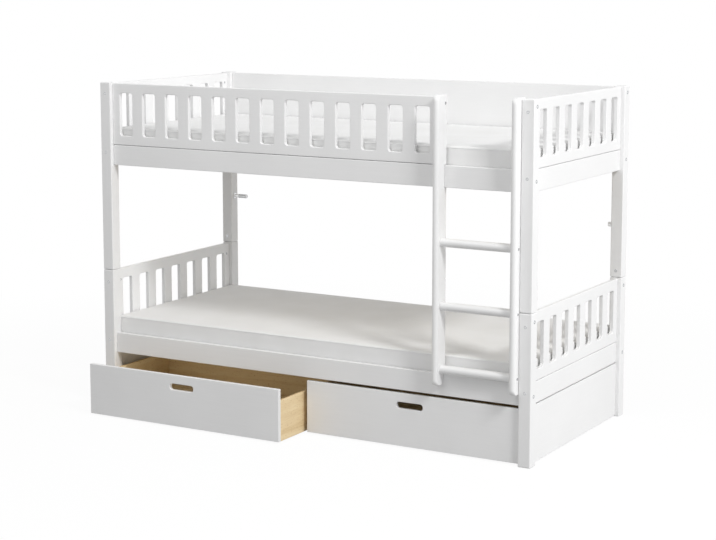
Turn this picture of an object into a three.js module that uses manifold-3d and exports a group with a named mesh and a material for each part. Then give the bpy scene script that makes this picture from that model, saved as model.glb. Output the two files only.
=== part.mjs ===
// A low bunk bed in white lacquered wood. Two slatted bunks hang between four posts that are each
// made in two lengths and joined by a dowel, with slotted guard and end panels, a ladder with round
// rungs at the front right, and two drawers on small wheels under the lower bunk.
// Millimetres, +Z up, and the bed's front faces -Y. The bed is drawn with the outer corner of its
// front left post at zero, and is then moved so that the origin is on the floor under the middle of
// everything as it stands, with the left drawer pulled out.
import * as THREE from "three";
import { mergeVertices } from "three/addons/utils/BufferGeometryUtils.js";
import Module from "manifold-3d";

const wasm = await Module();
wasm.setup();

// Frame
const bedLength = 2090;
const bedDepth = 990;
const postHeight = 1451;
const postJointHeight = 618;
const postSide = 54;
const postEdgeRadius = 4;
const boardThickness = 18;
const railHeight = 90;
const lowerRailBottom = 243;
const guardHeight = 270;
const guardTopBelowPost = 4;
const lowerPanelTopBelowJoint = 4;
const baseBoardFloorGap = 4;
const fitGap = 0.3; // hairline between two pieces that are screwed together
const cutOvershoot = 1; // how far a cutting solid runs past the face that it cuts
const mergeTolerance = 1e-4; // corners closer than this are one corner

// Slots in the guard and the end panels. Their width is what the bars between them leave.
const slotBarWidth = 55.4;
const slotEndMargin = 38.65;
const slotHeight = 188;
const slotCornerRadius = 11;
const guardSlots = 13;
const endSlots = 7;

// Dowels in the post joints, and the peg on the back left post
const dowelRadius = 6;
const dowelLength = 100;
const pegRadius = 10;
const pegLength = 72;
const pegHeight = 846;
const pegTipLength = 2;
const pegTipRadius = 8.5;
const pegCollarRadius = 13.5;
const pegCollarLength = 4;

// Slatted bases and mattresses
const bearerWidth = 20;
const bearerHeight = 20;
const slatThickness = 16;
const slatWidth = 70;
const slatCount = 13;
const slatEndClearance = 2;
const slatTopAboveRailBottom = 37;
const tapeWidth = 35;
const tapeThickness = 2;
const tapeInset = 190;
const tapeBite = 0.5; // how far the tapes are let into the slats that they hold
const mattressSideGap = 9;
const mattressThickness = 120;
const mattressCornerRadius = 36;
const mattressEdgeRadius = 11;
const mattressPiping = 3;
const mattressSideTuck = 4;
const mattressCrown = 6;
const crownRings = [0.15, 0.4, 0.75]; // shares of the way from the edge to the middle

// Ladder
const ladderWidth = 368;
const stileThickness = 28;
const stileFront = 38; // how far the stiles stand out in front of the posts
const stileAbovePost = 4;
const stileBottom = 291;
const stileEndRadius = 24;
const rungRadius = 17.5;
const lowestRung = 356;
const rungCount = 3;
const lastStepAboveRailBottom = 40; // the step after the top rung ends on the upper rail

// Drawers
const drawerPulledOut = 200; // the left drawer stands open by this much
const drawerMiddleGap = 14;
const drawerSideGap = 4;
const drawerFrontBottom = 8;
const drawerFrontTop = 230;
const drawerBoxDepth = 550;
const drawerBoxInset = 6;
const drawerBoxBottom = 5;
const drawerBoxTop = 179;
const drawerBoxWall = 12;
const drawerFloorUnderside = 38;
const drawerFloorThickness = 6;
const handleWidth = 122;
const handleHeight = 28;
const handleCornerRadius = 12;
const handleCentreHeight = 179;

// Wheels and the housings that carry them under a drawer
const wheelRadius = 16;
const wheelWidth = 14;
const wheelEdge = 1.5;
const axleRadius = 3;
const wheelBoreClearance = 0.5;
const wheelSideClearance = 1;
const cheekThickness = 2.5;
const housingLength = 28;
const housingBelowAxle = 5;
const housingRoofClearance = 2;
const yokeBite = 1; // how far a housing is let into the floor that carries it
const wheelInsetX = 90;
const wheelInsetY = 80;

// How finely the round forms are cut into flat faces
const slotCornerSegments = 2;
const postCornerSegments = 1;
const roundSegments = 24;
const smallRoundSegments = 12;
const wheelSegments = 18;
const stileRoundSegments = 6;
const mattressCornerSegments = 5;
const mattressEdgeSegments = 3;
const mattressStepsAlong = 8;
const mattressStepsAcross = 4;

// Places worked out from the sizes above
const recess = (postSide - boardThickness) / 2;
const boardBack = recess + boardThickness;
const lowerRailTop = lowerRailBottom + railHeight;
const upperRailTop = postHeight - guardTopBelowPost - guardHeight;
const upperRailBottom = upperRailTop - railHeight;
const spanX = bedLength - 2 * postSide - 2 * fitGap;
const spanY = bedDepth - 2 * postSide - 2 * fitGap;
const mattressLength = bedLength - 2 * (boardBack + mattressSideGap);
const mattressWidth = bedDepth - 2 * (boardBack + mattressSideGap);
const stileTop = postHeight + stileAbovePost;
const ladderRight = bedLength - postSide - fitGap;
const ladderLeft = ladderRight - ladderWidth;
const rungPitch = (upperRailBottom + lastStepAboveRailBottom - lowestRung) / rungCount;
const drawerFrontWidth = bedLength / 2 - postSide - drawerSideGap - drawerMiddleGap / 2;

const white = { color: 0xf0f0ee, roughness: 0.42, metalness: 0 };
const birch = { color: 0xdcb886, roughness: 0.6, metalness: 0 };
const pine = { color: 0xe6cfa3, roughness: 0.65, metalness: 0 };
const cloth = { color: 0xf4f4f2, roughness: 0.9, metalness: 0 };
const steel = { color: 0xa8a9ab, roughness: 0.35, metalness: 1 };
const wheelPlastic = { color: 0x3a3b3d, roughness: 0.5, metalness: 0 };

// A closed geometry as a solid that can be joined and cut.
function solidFrom(geometry) {
  const bare = geometry.clone();
  bare.deleteAttribute("normal");
  bare.deleteAttribute("uv");
  const merged = mergeVertices(bare, mergeTolerance);
  return new wasm.Manifold(
    new wasm.Mesh({
      numProp: 3,
      vertProperties: merged.attributes.position.array,
      triVerts: new Uint32Array(merged.index.array),
    }),
  );
}

// A solid as a geometry again.
function geometryFrom(solid) {
  const mesh = solid.getMesh();
  const geometry = new THREE.BufferGeometry();
  geometry.setAttribute("position", new THREE.BufferAttribute(mesh.vertProperties, 3));
  geometry.setIndex(new THREE.BufferAttribute(mesh.triVerts, 1));
  geometry.computeVertexNormals();
  return geometry;
}

function addPiece(group, name, geometry, finish, x = 0, y = 0, z = 0) {
  const mesh = new THREE.Mesh(geometry, new THREE.MeshStandardMaterial(finish));
  mesh.name = name;
  mesh.position.set(x, y, z);
  group.add(mesh);
}

// A box with its lowest corner at the given place.
function block(sizeX, sizeY, sizeZ, x = 0, y = 0, z = 0) {
  const box = new THREE.BoxGeometry(sizeX, sizeY, sizeZ);
  return box.translate(x + sizeX / 2, y + sizeY / 2, z + sizeZ / 2);
}

// A round bar along X, starting at the given place.
function barAlongX(radius, length, segments, x = 0, y = 0, z = 0) {
  const cylinder = new THREE.CylinderGeometry(radius, radius, length, segments);
  return cylinder.rotateZ(-Math.PI / 2).translate(x + length / 2, y, z);
}

// A round bar that stands upright, with its lower end at the given place.
function uprightBar(radius, length, segments, x, y, z) {
  const cylinder = new THREE.CylinderGeometry(radius, radius, length, segments);
  return cylinder.rotateX(Math.PI / 2).translate(x, y, z + length / 2);
}

// A rectangle with round corners, drawn onto a shape or a hole from its lowest corner.
function roundedRectangle(path, x, y, width, height, radius) {
  path.moveTo(x + radius, y);
  path.lineTo(x + width - radius, y);
  path.absarc(x + width - radius, y + radius, radius, -Math.PI / 2, 0);
  path.lineTo(x + width, y + height - radius);
  path.absarc(x + width - radius, y + height - radius, radius, 0, Math.PI / 2);
  path.lineTo(x + radius, y + height);
  path.absarc(x + radius, y + height - radius, radius, Math.PI / 2, Math.PI);
  path.lineTo(x, y + radius);
  path.absarc(x + radius, y + radius, radius, Math.PI, 1.5 * Math.PI);
  return path;
}

// An upright board with rectangular holes that have round corners. It runs along X, and its front
// face is at y = 0.
function boardWithHoles(width, height, holes, cornerRadius) {
  const shape = new THREE.Shape();
  shape.moveTo(0, 0);
  shape.lineTo(width, 0);
  shape.lineTo(width, height);
  shape.lineTo(0, height);
  shape.closePath();
  for (const hole of holes) {
    const path = new THREE.Path();
    roundedRectangle(path, hole.x, hole.z, hole.width, hole.height, cornerRadius);
    shape.holes.push(path);
  }
  const board = new THREE.ExtrudeGeometry(shape, {
    depth: boardThickness,
    bevelEnabled: false,
    curveSegments: slotCornerSegments,
  });
  return board.rotateX(Math.PI / 2).translate(0, boardThickness, 0);
}

// A board with a row of equal slots between its end margins, at the middle of its height.
function slottedBoard(width, height, count) {
  const slotWidth = (width - 2 * slotEndMargin - (count - 1) * slotBarWidth) / count;
  const holes = Array.from({ length: count }, (_, k) => ({
    x: slotEndMargin + k * (slotWidth + slotBarWidth),
    z: (height - slotHeight) / 2,
    width: slotWidth,
    height: slotHeight,
  }));
  return boardWithHoles(width, height, holes, slotCornerRadius);
}

// A board that runs along X is turned to run along Y, with its face at x = 0.
function turnedAcross(geometry) {
  return geometry.rotateZ(Math.PI / 2).translate(boardThickness, 0, 0);
}

// Posts: each corner has a lower and an upper length, drilled for the dowel that joins them.
function addPosts(group) {
  const shape = roundedRectangle(new THREE.Shape(), 0, 0, postSide, postSide, postEdgeRadius);
  const holeRadius = dowelRadius + fitGap;
  const holeDepth = dowelLength / 2 + fitGap;
  const middle = postSide / 2;
  const drilledPost = (length, holeStart) => {
    const stock = new THREE.ExtrudeGeometry(shape, {
      depth: length,
      bevelEnabled: false,
      curveSegments: postCornerSegments,
    });
    const drillLength = holeDepth + cutOvershoot;
    const hole = uprightBar(holeRadius, drillLength, smallRoundSegments, middle, middle, holeStart);
    return geometryFrom(solidFrom(stock).subtract(solidFrom(hole)));
  };
  const upperLength = postHeight - postJointHeight - fitGap;
  for (const [depthName, y] of [["front", 0], ["back", bedDepth - postSide]]) {
    for (const [sideName, x] of [["left", 0], ["right", bedLength - postSide]]) {
      const corner = `${depthName}_${sideName}`;
      const lower = drilledPost(postJointHeight, postJointHeight - holeDepth);
      addPiece(group, `lower_post_${corner}`, lower, white, x, y, 0);
      const upper = drilledPost(upperLength, -cutOvershoot);
      addPiece(group, `upper_post_${corner}`, upper, white, x, y, postJointHeight + fitGap);
      const dowelBottom = postJointHeight + fitGap / 2 - dowelLength / 2;
      const dowel = uprightBar(dowelRadius, dowelLength, smallRoundSegments, middle, middle, 0);
      addPiece(group, `post_dowel_${corner}`, dowel, pine, x, y, dowelBottom);
    }
  }
}

// Long rails at the front and back of each bunk, the slotted guard and the plain back board.
function addLongBoards(group) {
  const left = postSide + fitGap;
  const backY = bedDepth - boardBack;
  for (const [level, z] of [["lower", lowerRailBottom], ["upper", upperRailBottom]]) {
    const rail = () => block(spanX, boardThickness, railHeight);
    addPiece(group, `${level}_rail_front`, rail(), white, left, recess, z);
    addPiece(group, `${level}_rail_back`, rail(), white, left, backY, z);
  }
  const guardBottom = upperRailTop + fitGap;
  const guard = slottedBoard(ladderLeft - fitGap - left, guardHeight - fitGap, guardSlots);
  addPiece(group, "guard_panel_front", guard, white, left, recess, guardBottom);
  const backBoard = block(spanX, boardThickness, guardHeight - fitGap);
  addPiece(group, "guard_board_back", backBoard, white, left, backY, guardBottom);
}

// Each end has a base board, a lower rail and panel, and an upper rail and panel.
function addEnds(group) {
  const front = postSide + fitGap;
  const lowerPanelBottom = lowerRailTop + fitGap;
  const lowerPanelHeight = postJointHeight - lowerPanelTopBelowJoint - lowerPanelBottom;
  const baseHeight = lowerRailBottom - fitGap - baseBoardFloorGap;
  for (const [side, x] of [["left", recess], ["right", bedLength - boardBack]]) {
    const base = block(boardThickness, spanY, baseHeight);
    addPiece(group, `base_board_${side}`, base, white, x, front, baseBoardFloorGap);
    for (const [level, z] of [["lower", lowerRailBottom], ["upper", upperRailBottom]]) {
      const rail = block(boardThickness, spanY, railHeight);
      addPiece(group, `${level}_end_rail_${side}`, rail, white, x, front, z);
    }
    const lowerPanel = turnedAcross(slottedBoard(spanY, lowerPanelHeight, endSlots));
    addPiece(group, `lower_end_panel_${side}`, lowerPanel, white, x, front, lowerPanelBottom);
    const upperPanel = turnedAcross(slottedBoard(spanY, guardHeight - fitGap, endSlots));
    addPiece(group, `upper_end_panel_${side}`, upperPanel, white, x, front, upperRailTop + fitGap);
  }
}

// Slats lie across the bed on the two bearers, and two woven tapes under them keep their spacing.
function slatMat() {
  const length = bedDepth - 2 * (boardBack + slatEndClearance);
  const firstSlat = postSide + slatEndClearance;
  const pitch = (bedLength - 2 * firstSlat - slatWidth) / (slatCount - 1);
  let mat = null;
  for (let k = 0; k < slatCount; k++) {
    const slat = solidFrom(block(slatWidth, length, slatThickness, firstSlat + k * pitch));
    mat = mat ? mat.add(slat) : slat;
  }
  const tapeLength = (slatCount - 1) * pitch;
  for (const y of [tapeInset, length - tapeInset - tapeWidth]) {
    const tapeStart = firstSlat + slatWidth / 2;
    const tape = block(tapeLength, tapeWidth, tapeThickness, tapeStart, y, tapeBite - tapeThickness);
    mat = mat.add(solidFrom(tape));
  }
  return geometryFrom(mat);
}

// A foam mattress in a sewn cover: rings of points climb from the underside over the piped lower
// edge, the tucked side and the piped, rounded upper edge, and run in over the crowned top.
function mattress() {
  const halfLength = mattressLength / 2;
  const halfWidth = mattressWidth / 2;
  const outline = [];
  const corners = [[1, 1], [-1, 1], [-1, -1], [1, -1]];
  corners.forEach(([sx, sy], k) => {
    const centreX = sx * (halfLength - mattressCornerRadius);
    const centreY = sy * (halfWidth - mattressCornerRadius);
    for (let i = 0; i <= mattressCornerSegments; i++) {
      const angle = ((k + i / mattressCornerSegments) * Math.PI) / 2;
      outline.push([
        centreX + mattressCornerRadius * Math.cos(angle),
        centreY + mattressCornerRadius * Math.sin(angle),
      ]);
    }
    const along = k % 2 === 0;
    const steps = along ? mattressStepsAlong : mattressStepsAcross;
    const [endX, endY] = outline[outline.length - 1];
    for (let i = 1; i < steps; i++) {
      const share = i / steps;
      outline.push([
        along ? endX * (1 - 2 * share) : endX,
        along ? endY : endY * (1 - 2 * share),
      ]);
    }
  });
  const top = mattressThickness;
  const rings = [[mattressEdgeRadius, 0]];
  for (let i = 1; i <= mattressEdgeSegments; i++) {
    const angle = (i / mattressEdgeSegments) * (Math.PI / 2);
    rings.push([
      mattressPiping + (mattressEdgeRadius - mattressPiping) * (1 - Math.sin(angle)),
      mattressEdgeRadius * (1 - Math.cos(angle)),
    ]);
  }
  const pipeLow = mattressEdgeRadius + mattressPiping;
  rings.push([0, pipeLow], [mattressPiping, pipeLow + mattressPiping]);
  rings.push([mattressSideTuck, top / 2]);
  rings.push([mattressPiping, top - pipeLow - mattressPiping], [0, top - pipeLow]);
  for (let i = 0; i <= mattressEdgeSegments; i++) {
    const angle = (i / mattressEdgeSegments) * (Math.PI / 2);
    rings.push([
      mattressPiping + (mattressEdgeRadius - mattressPiping) * (1 - Math.cos(angle)),
      top - mattressEdgeRadius * (1 - Math.sin(angle)),
    ]);
  }
  for (const share of crownRings) {
    rings.push([share * halfWidth, top + mattressCrown * Math.sin((share * Math.PI) / 2)]);
  }
  const count = outline.length;
  const points = [];
  for (const [inset, z] of rings) {
    for (const [x, y] of outline) {
      points.push((x * (halfLength - inset)) / halfLength, (y * (halfWidth - inset)) / halfWidth, z);
    }
  }
  const faces = [];
  for (let ring = 0; ring < rings.length - 1; ring++) {
    for (let i = 0; i < count; i++) {
      const a = ring * count + i;
      const b = ring * count + ((i + 1) % count);
      faces.push(a, b, b + count, a, b + count, a + count);
    }
  }
  const underside = points.length / 3;
  const lastRing = (rings.length - 1) * count;
  points.push(0, 0, 0, 0, 0, top + mattressCrown);
  for (let i = 0; i < count; i++) {
    const next = (i + 1) % count;
    faces.push(underside, next, i, underside + 1, lastRing + i, lastRing + next);
  }
  const geometry = new THREE.BufferGeometry();
  geometry.setAttribute("position", new THREE.Float32BufferAttribute(points, 3));
  geometry.setIndex(faces);
  geometry.computeVertexNormals();
  return geometry;
}

// Bearers along the long rails, the slats on them, and the mattress on the slats.
function addBunks(group) {
  for (const [level, railBottom] of [["lower", lowerRailBottom], ["upper", upperRailBottom]]) {
    const slatTop = railBottom + slatTopAboveRailBottom;
    const slatBottom = slatTop - slatThickness;
    const bearerZ = slatBottom - fitGap - bearerHeight;
    const front = boardBack + fitGap;
    const back = bedDepth - boardBack - fitGap - bearerWidth;
    const bearer = () => block(spanX, bearerWidth, bearerHeight);
    addPiece(group, `${level}_bearer_front`, bearer(), pine, postSide + fitGap, front, bearerZ);
    addPiece(group, `${level}_bearer_back`, bearer(), pine, postSide + fitGap, back, bearerZ);
    const matFront = boardBack + slatEndClearance;
    addPiece(group, `${level}_slats`, slatMat(), pine, 0, matFront, slatBottom);
    const seat = slatTop + fitGap;
    addPiece(group, `${level}_mattress`, mattress(), cloth, bedLength / 2, bedDepth / 2, seat);
  }
}

// A stile has a half-round front edge. Seen from the side its ends are rounded at the front, and its
// back is cut away where it stands in front of the upper rail and the lower rail.
function stile() {
  const depth = stileFront + boardBack;
  const round = stileThickness / 2;
  const section = new THREE.Shape();
  section.moveTo(0, depth);
  section.lineTo(0, round);
  section.absarc(round, round, round, Math.PI, 2 * Math.PI);
  section.lineTo(stileThickness, depth);
  section.closePath();
  const stock = new THREE.ExtrudeGeometry(section, {
    depth: stileTop - stileBottom,
    bevelEnabled: false,
    curveSegments: stileRoundSegments,
  });
  const cutDepth = stileFront + recess - fitGap;
  const side = new THREE.Shape();
  const height = stileTop - stileBottom;
  const lowerCut = lowerRailTop + fitGap - stileBottom;
  side.moveTo(stileEndRadius, 0);
  side.lineTo(cutDepth, 0);
  side.lineTo(cutDepth, lowerCut);
  side.lineTo(depth, lowerCut);
  side.lineTo(depth, upperRailBottom - fitGap - stileBottom);
  side.lineTo(cutDepth, upperRailBottom - fitGap - stileBottom);
  side.lineTo(cutDepth, upperRailTop + fitGap - stileBottom);
  side.lineTo(depth, upperRailTop + fitGap - stileBottom);
  side.lineTo(depth, height);
  side.lineTo(stileEndRadius, height);
  side.absarc(stileEndRadius, height - stileEndRadius, stileEndRadius, Math.PI / 2, Math.PI);
  side.lineTo(0, stileEndRadius);
  side.absarc(stileEndRadius, stileEndRadius, stileEndRadius, Math.PI, 1.5 * Math.PI);
  const slab = new THREE.ExtrudeGeometry(side, {
    depth: stileThickness + 2 * cutOvershoot,
    bevelEnabled: false,
    curveSegments: stileRoundSegments,
  });
  slab.rotateX(Math.PI / 2).rotateZ(Math.PI / 2).translate(-cutOvershoot, 0, 0);
  return geometryFrom(solidFrom(stock).intersect(solidFrom(slab)));
}

function addLadder(group) {
  const rightStile = ladderRight - stileThickness;
  addPiece(group, "ladder_stile_left", stile(), white, ladderLeft, -stileFront, stileBottom);
  addPiece(group, "ladder_stile_right", stile(), white, rightStile, -stileFront, stileBottom);
  const rungStart = ladderLeft + stileThickness + fitGap;
  const rungLength = rightStile - fitGap - rungStart;
  const rungY = (boardBack - stileFront) / 2;
  for (let k = 0; k < rungCount; k++) {
    const rung = barAlongX(rungRadius, rungLength, roundSegments);
    addPiece(group, `ladder_rung_${k + 1}`, rung, white, rungStart, rungY, lowestRung + k * rungPitch);
  }
}

// A steel peg with a collar stands out of the inner face of the back left post.
function addPeg(group) {
  const profile = [
    [0, 0],
    [pegCollarRadius, 0],
    [pegCollarRadius, pegCollarLength],
    [pegRadius, pegCollarLength],
    [pegRadius, pegLength - pegTipLength],
    [pegTipRadius, pegLength],
    [0, pegLength],
  ].map(([radius, along]) => new THREE.Vector2(radius, along));
  const peg = new THREE.LatheGeometry(profile, roundSegments).rotateZ(-Math.PI / 2);
  const y = bedDepth - postSide / 2;
  addPiece(group, "back_post_peg", peg, steel, postSide + fitGap, y, pegHeight);
}

// The drawer's floor with the four wheel housings under it. Each housing is a yoke with its axle.
function drawerFloor(width, depth, wheelPlaces) {
  const floor = block(width, depth, drawerFloorThickness, 0, 0, drawerFloorUnderside);
  const gapWidth = wheelWidth + 2 * wheelSideClearance;
  const yokeWidth = gapWidth + 2 * cheekThickness;
  const yokeBottom = wheelRadius - housingBelowAxle;
  const yokeHeight = drawerFloorUnderside - yokeBottom;
  const roof = 2 * wheelRadius + housingRoofClearance;
  let joined = solidFrom(floor);
  for (const [x, y] of wheelPlaces) {
    const yokeFront = y - housingLength / 2;
    const stock = block(
      yokeWidth, housingLength, yokeHeight + yokeBite, x - yokeWidth / 2, yokeFront, yokeBottom,
    );
    const gapFront = yokeFront - cutOvershoot;
    const gapLength = housingLength + 2 * cutOvershoot;
    const gapBottom = yokeBottom - cutOvershoot;
    const gap = block(gapWidth, gapLength, roof - gapBottom, x - gapWidth / 2, gapFront, gapBottom);
    const axleLength = gapWidth + cheekThickness;
    const axle = barAlongX(
      axleRadius, axleLength, smallRoundSegments, x - axleLength / 2, y, wheelRadius,
    );
    const yoke = solidFrom(stock).subtract(solidFrom(gap)).add(solidFrom(axle));
    joined = joined.add(yoke);
  }
  return geometryFrom(joined);
}

// A wheel turns about X, with its bore a little wider than the axle.
function wheel() {
  const bore = axleRadius + wheelBoreClearance;
  const half = wheelWidth / 2;
  const profile = [
    [bore, -half],
    [wheelRadius - wheelEdge, -half],
    [wheelRadius, -half + wheelEdge],
    [wheelRadius, half - wheelEdge],
    [wheelRadius - wheelEdge, half],
    [bore, half],
    [bore, -half],
  ].map(([radius, along]) => new THREE.Vector2(radius, along));
  const turned = new THREE.LatheGeometry(profile, wheelSegments);
  return turned.rotateZ(-Math.PI / 2).rotateX(Math.PI / 2);
}

// One drawer, drawn closed with its left edge at x = 0 and the face of its front at y = 0.
function addDrawer(group, side) {
  const frontHeight = drawerFrontTop - drawerFrontBottom;
  const handle = {
    x: (drawerFrontWidth - handleWidth) / 2,
    z: handleCentreHeight - drawerFrontBottom - handleHeight / 2,
    width: handleWidth,
    height: handleHeight,
  };
  const front = boardWithHoles(drawerFrontWidth, frontHeight, [handle], handleCornerRadius);
  addPiece(group, `drawer_front_${side}`, front, white, 0, 0, drawerFrontBottom);

  const boxFront = boardThickness + fitGap;
  const boxHeight = drawerBoxTop - drawerBoxBottom;
  const wallRight = drawerFrontWidth - drawerBoxInset - drawerBoxWall;
  for (const [wall, x] of [["left", drawerBoxInset], ["right", wallRight]]) {
    const panel = block(drawerBoxWall, drawerBoxDepth, boxHeight);
    addPiece(group, `drawer_${wall}_wall_${side}`, panel, birch, x, boxFront, drawerBoxBottom);
  }
  const insideLeft = drawerBoxInset + drawerBoxWall + fitGap;
  const insideWidth = drawerFrontWidth - 2 * insideLeft;
  const backY = boxFront + drawerBoxDepth - drawerBoxWall;
  const back = block(insideWidth, drawerBoxWall, boxHeight);
  addPiece(group, `drawer_back_${side}`, back, birch, insideLeft, backY, drawerBoxBottom);

  const floorDepth = backY - fitGap - boxFront;
  const wheelPlaces = [
    ["front_left", wheelInsetX, wheelInsetY],
    ["front_right", insideWidth - wheelInsetX, wheelInsetY],
    ["back_left", wheelInsetX, floorDepth - wheelInsetY],
    ["back_right", insideWidth - wheelInsetX, floorDepth - wheelInsetY],
  ];
  const floor = drawerFloor(insideWidth, floorDepth, wheelPlaces.map(([, x, y]) => [x, y]));
  addPiece(group, `drawer_floor_${side}`, floor, birch, insideLeft, boxFront, 0);
  for (const [place, x, y] of wheelPlaces) {
    const name = `wheel_${side}_${place}`;
    addPiece(group, name, wheel(), wheelPlastic, insideLeft + x, boxFront + y, wheelRadius);
  }
}

function addDrawers(group) {
  const left = new THREE.Group();
  left.position.set(postSide + drawerSideGap, recess - drawerPulledOut, 0);
  addDrawer(left, "left");
  const right = new THREE.Group();
  const rightX = postSide + drawerSideGap + drawerFrontWidth + drawerMiddleGap;
  right.position.set(rightX, recess, 0);
  addDrawer(right, "right");
  group.add(left, right);
}

const bed = new THREE.Group();
addPosts(bed);
addLongBoards(bed);
addEnds(bed);
addBunks(bed);
addLadder(bed);
addPeg(bed);
addDrawers(bed);
bed.position.set(-bedLength / 2, -(bedDepth + recess - drawerPulledOut) / 2, 0);

const bunkBed = new THREE.Group();
bunkBed.add(bed);

export default bunkBed;
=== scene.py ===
"""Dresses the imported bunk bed: lacquered boards, sewn mattresses, birch drawers, fasteners and studio.

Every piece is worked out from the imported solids' own boxes, so that it stands where the solid stands.
Lengths are metres in the bed's frame: +Z up, the front faces -Y, and the ladder is at the right end.
"""

import logging
import math
from dataclasses import dataclass, field
from enum import Enum
from typing import Any, ClassVar

import bmesh
import bpy
import numpy as np
from mathutils import Matrix, Vector


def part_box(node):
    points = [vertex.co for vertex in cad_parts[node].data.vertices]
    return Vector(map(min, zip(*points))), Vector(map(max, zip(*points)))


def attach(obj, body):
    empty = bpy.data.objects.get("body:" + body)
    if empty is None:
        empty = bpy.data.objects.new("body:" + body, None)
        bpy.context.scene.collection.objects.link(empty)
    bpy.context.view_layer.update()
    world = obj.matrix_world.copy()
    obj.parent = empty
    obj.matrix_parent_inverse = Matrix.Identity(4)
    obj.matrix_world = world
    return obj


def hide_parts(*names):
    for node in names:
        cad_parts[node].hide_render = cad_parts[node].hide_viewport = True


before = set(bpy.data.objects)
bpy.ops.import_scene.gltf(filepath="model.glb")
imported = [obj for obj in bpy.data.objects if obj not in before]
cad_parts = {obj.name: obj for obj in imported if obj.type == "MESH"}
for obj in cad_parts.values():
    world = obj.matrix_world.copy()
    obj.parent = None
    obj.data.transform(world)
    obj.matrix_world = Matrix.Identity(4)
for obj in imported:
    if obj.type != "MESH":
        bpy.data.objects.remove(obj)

log = logging.getLogger("bunk_bed")

Tree, Node, Socket = bpy.types.NodeTree, bpy.types.Node, bpy.types.NodeSocket

MM = 0.001
PHOTO_WIDTH, PHOTO_HEIGHT = 716, 540
BED = "bed_frame"
DEPTHS = ("front", "back")
RUNGS = (1, 2, 3)
SHARP = math.radians(50)  # an edge that turns by more than this stays sharp, or is eased
MERGED = 1e-6  # points nearer to each other than this become one
DEGENERATE = 1e-7  # edges shorter than this are taken out


class Axis(Enum):
    """One of the bed's three directions."""

    X = 0
    Y = 1
    Z = 2


class Side(Enum):
    """The left or right of the bed, as its front is seen."""

    LEFT = "left"
    RIGHT = "right"

    @property
    def outward(self) -> int:
        """The sign of the direction along X out of the bed."""
        return -1 if self is Side.LEFT else 1


class Level(Enum):
    """The lower or the upper bunk."""

    LOWER = "lower"
    UPPER = "upper"


class Slot(Enum):
    """The record's material slots."""

    WHITE_LACQUER = "white_lacquer"
    BIRCH = "birch"
    PINE = "pine"
    MATTRESS_COVER = "mattress_cover"
    STEEL = "steel"
    WHEEL_PLASTIC = "wheel_plastic"


# Materials


def linear(colour: str) -> tuple[float, float, float, float]:
    """Turns an sRGB hex colour to the linear one that the shaders take.

    Args:
        colour: Six hex digits after a hash sign.

    Returns:
        Red, green, blue and an alpha of 1.
    """
    values = [int(colour[k : k + 2], 16) / 255 for k in (1, 3, 5)]
    turned = [v / 12.92 if v <= 0.04045 else ((v + 0.055) / 1.055) ** 2.4 for v in values]
    return (turned[0], turned[1], turned[2], 1.0)


def add_node(
    tree: Tree,
    kind: str,
    values: dict[str | int, Any] | None = None,
    links: dict[str | int, Node | Socket] | None = None,
    **settings: Any,
) -> Node:
    """Adds one node to a tree with its settings, its values and what feeds it.

    Args:
        tree: The material's or world's node tree.
        kind: Blender's name of the node type, less the ShaderNode that all begin with.
        values: A value for each named or numbered input.
        links: What feeds each named or numbered input: a socket, or a node with its first output.
        **settings: The node's own options.

    Returns:
        The new node.
    """
    node = tree.nodes.new(f"ShaderNode{kind}")
    for option, value in settings.items():
        setattr(node, option, value)
    for socket, value in (values or {}).items():
        node.inputs[socket].default_value = value
    for socket, source in (links or {}).items():
        tree.links.new(source.outputs[0] if isinstance(source, Node) else source, node.inputs[socket])
    return node


@dataclass(frozen=True)
class Finish:
    """A finish that a piece can wear. Each kind of finish builds its own nodes and has its slot."""

    slot: ClassVar[Slot]
    name: str

    def nodes(self, tree: Tree) -> Node:
        """Builds the nodes and returns the shader that goes to the surface."""
        raise NotImplementedError

    def material(self) -> bpy.types.Material:
        """Returns this finish's material, made the first time that it is asked for."""
        made = bpy.data.materials.get(self.name)
        if made is None:
            made = bpy.data.materials.new(self.name)
            made.use_nodes = True
            made.node_tree.nodes.clear()
            add_node(made.node_tree, "OutputMaterial", links={"Surface": self.nodes(made.node_tree)})
        return made


def stretched(tree: Tree, along: Axis, share: float) -> Node:
    """Object coordinates squeezed along one direction, so that a noise read there runs with the grain.

    Args:
        tree: The material's node tree.
        along: The direction in which the grain runs.
        share: The scale along the grain, against 1 across it.

    Returns:
        The node that gives the squeezed coordinates.
    """
    scale = [1.0, 1.0, 1.0]
    scale[along.value] = share
    place = add_node(tree, "TexCoord").outputs["Object"]
    return add_node(tree, "Mapping", {"Scale": scale}, {"Vector": place})


def set_stops(ramp: Node, stops: dict[float, str]) -> None:
    """Sets the colours of a new colour ramp.

    Args:
        ramp: The ramp's node.
        stops: A hex colour for each place on the ramp, in order.
    """
    elements, places = ramp.color_ramp.elements, list(stops)
    for element, place in zip(elements, (places[0], places[-1])):
        element.position, element.color = place, linear(stops[place])
    for place in places[1:-1]:
        elements.new(place).color = linear(stops[place])


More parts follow.
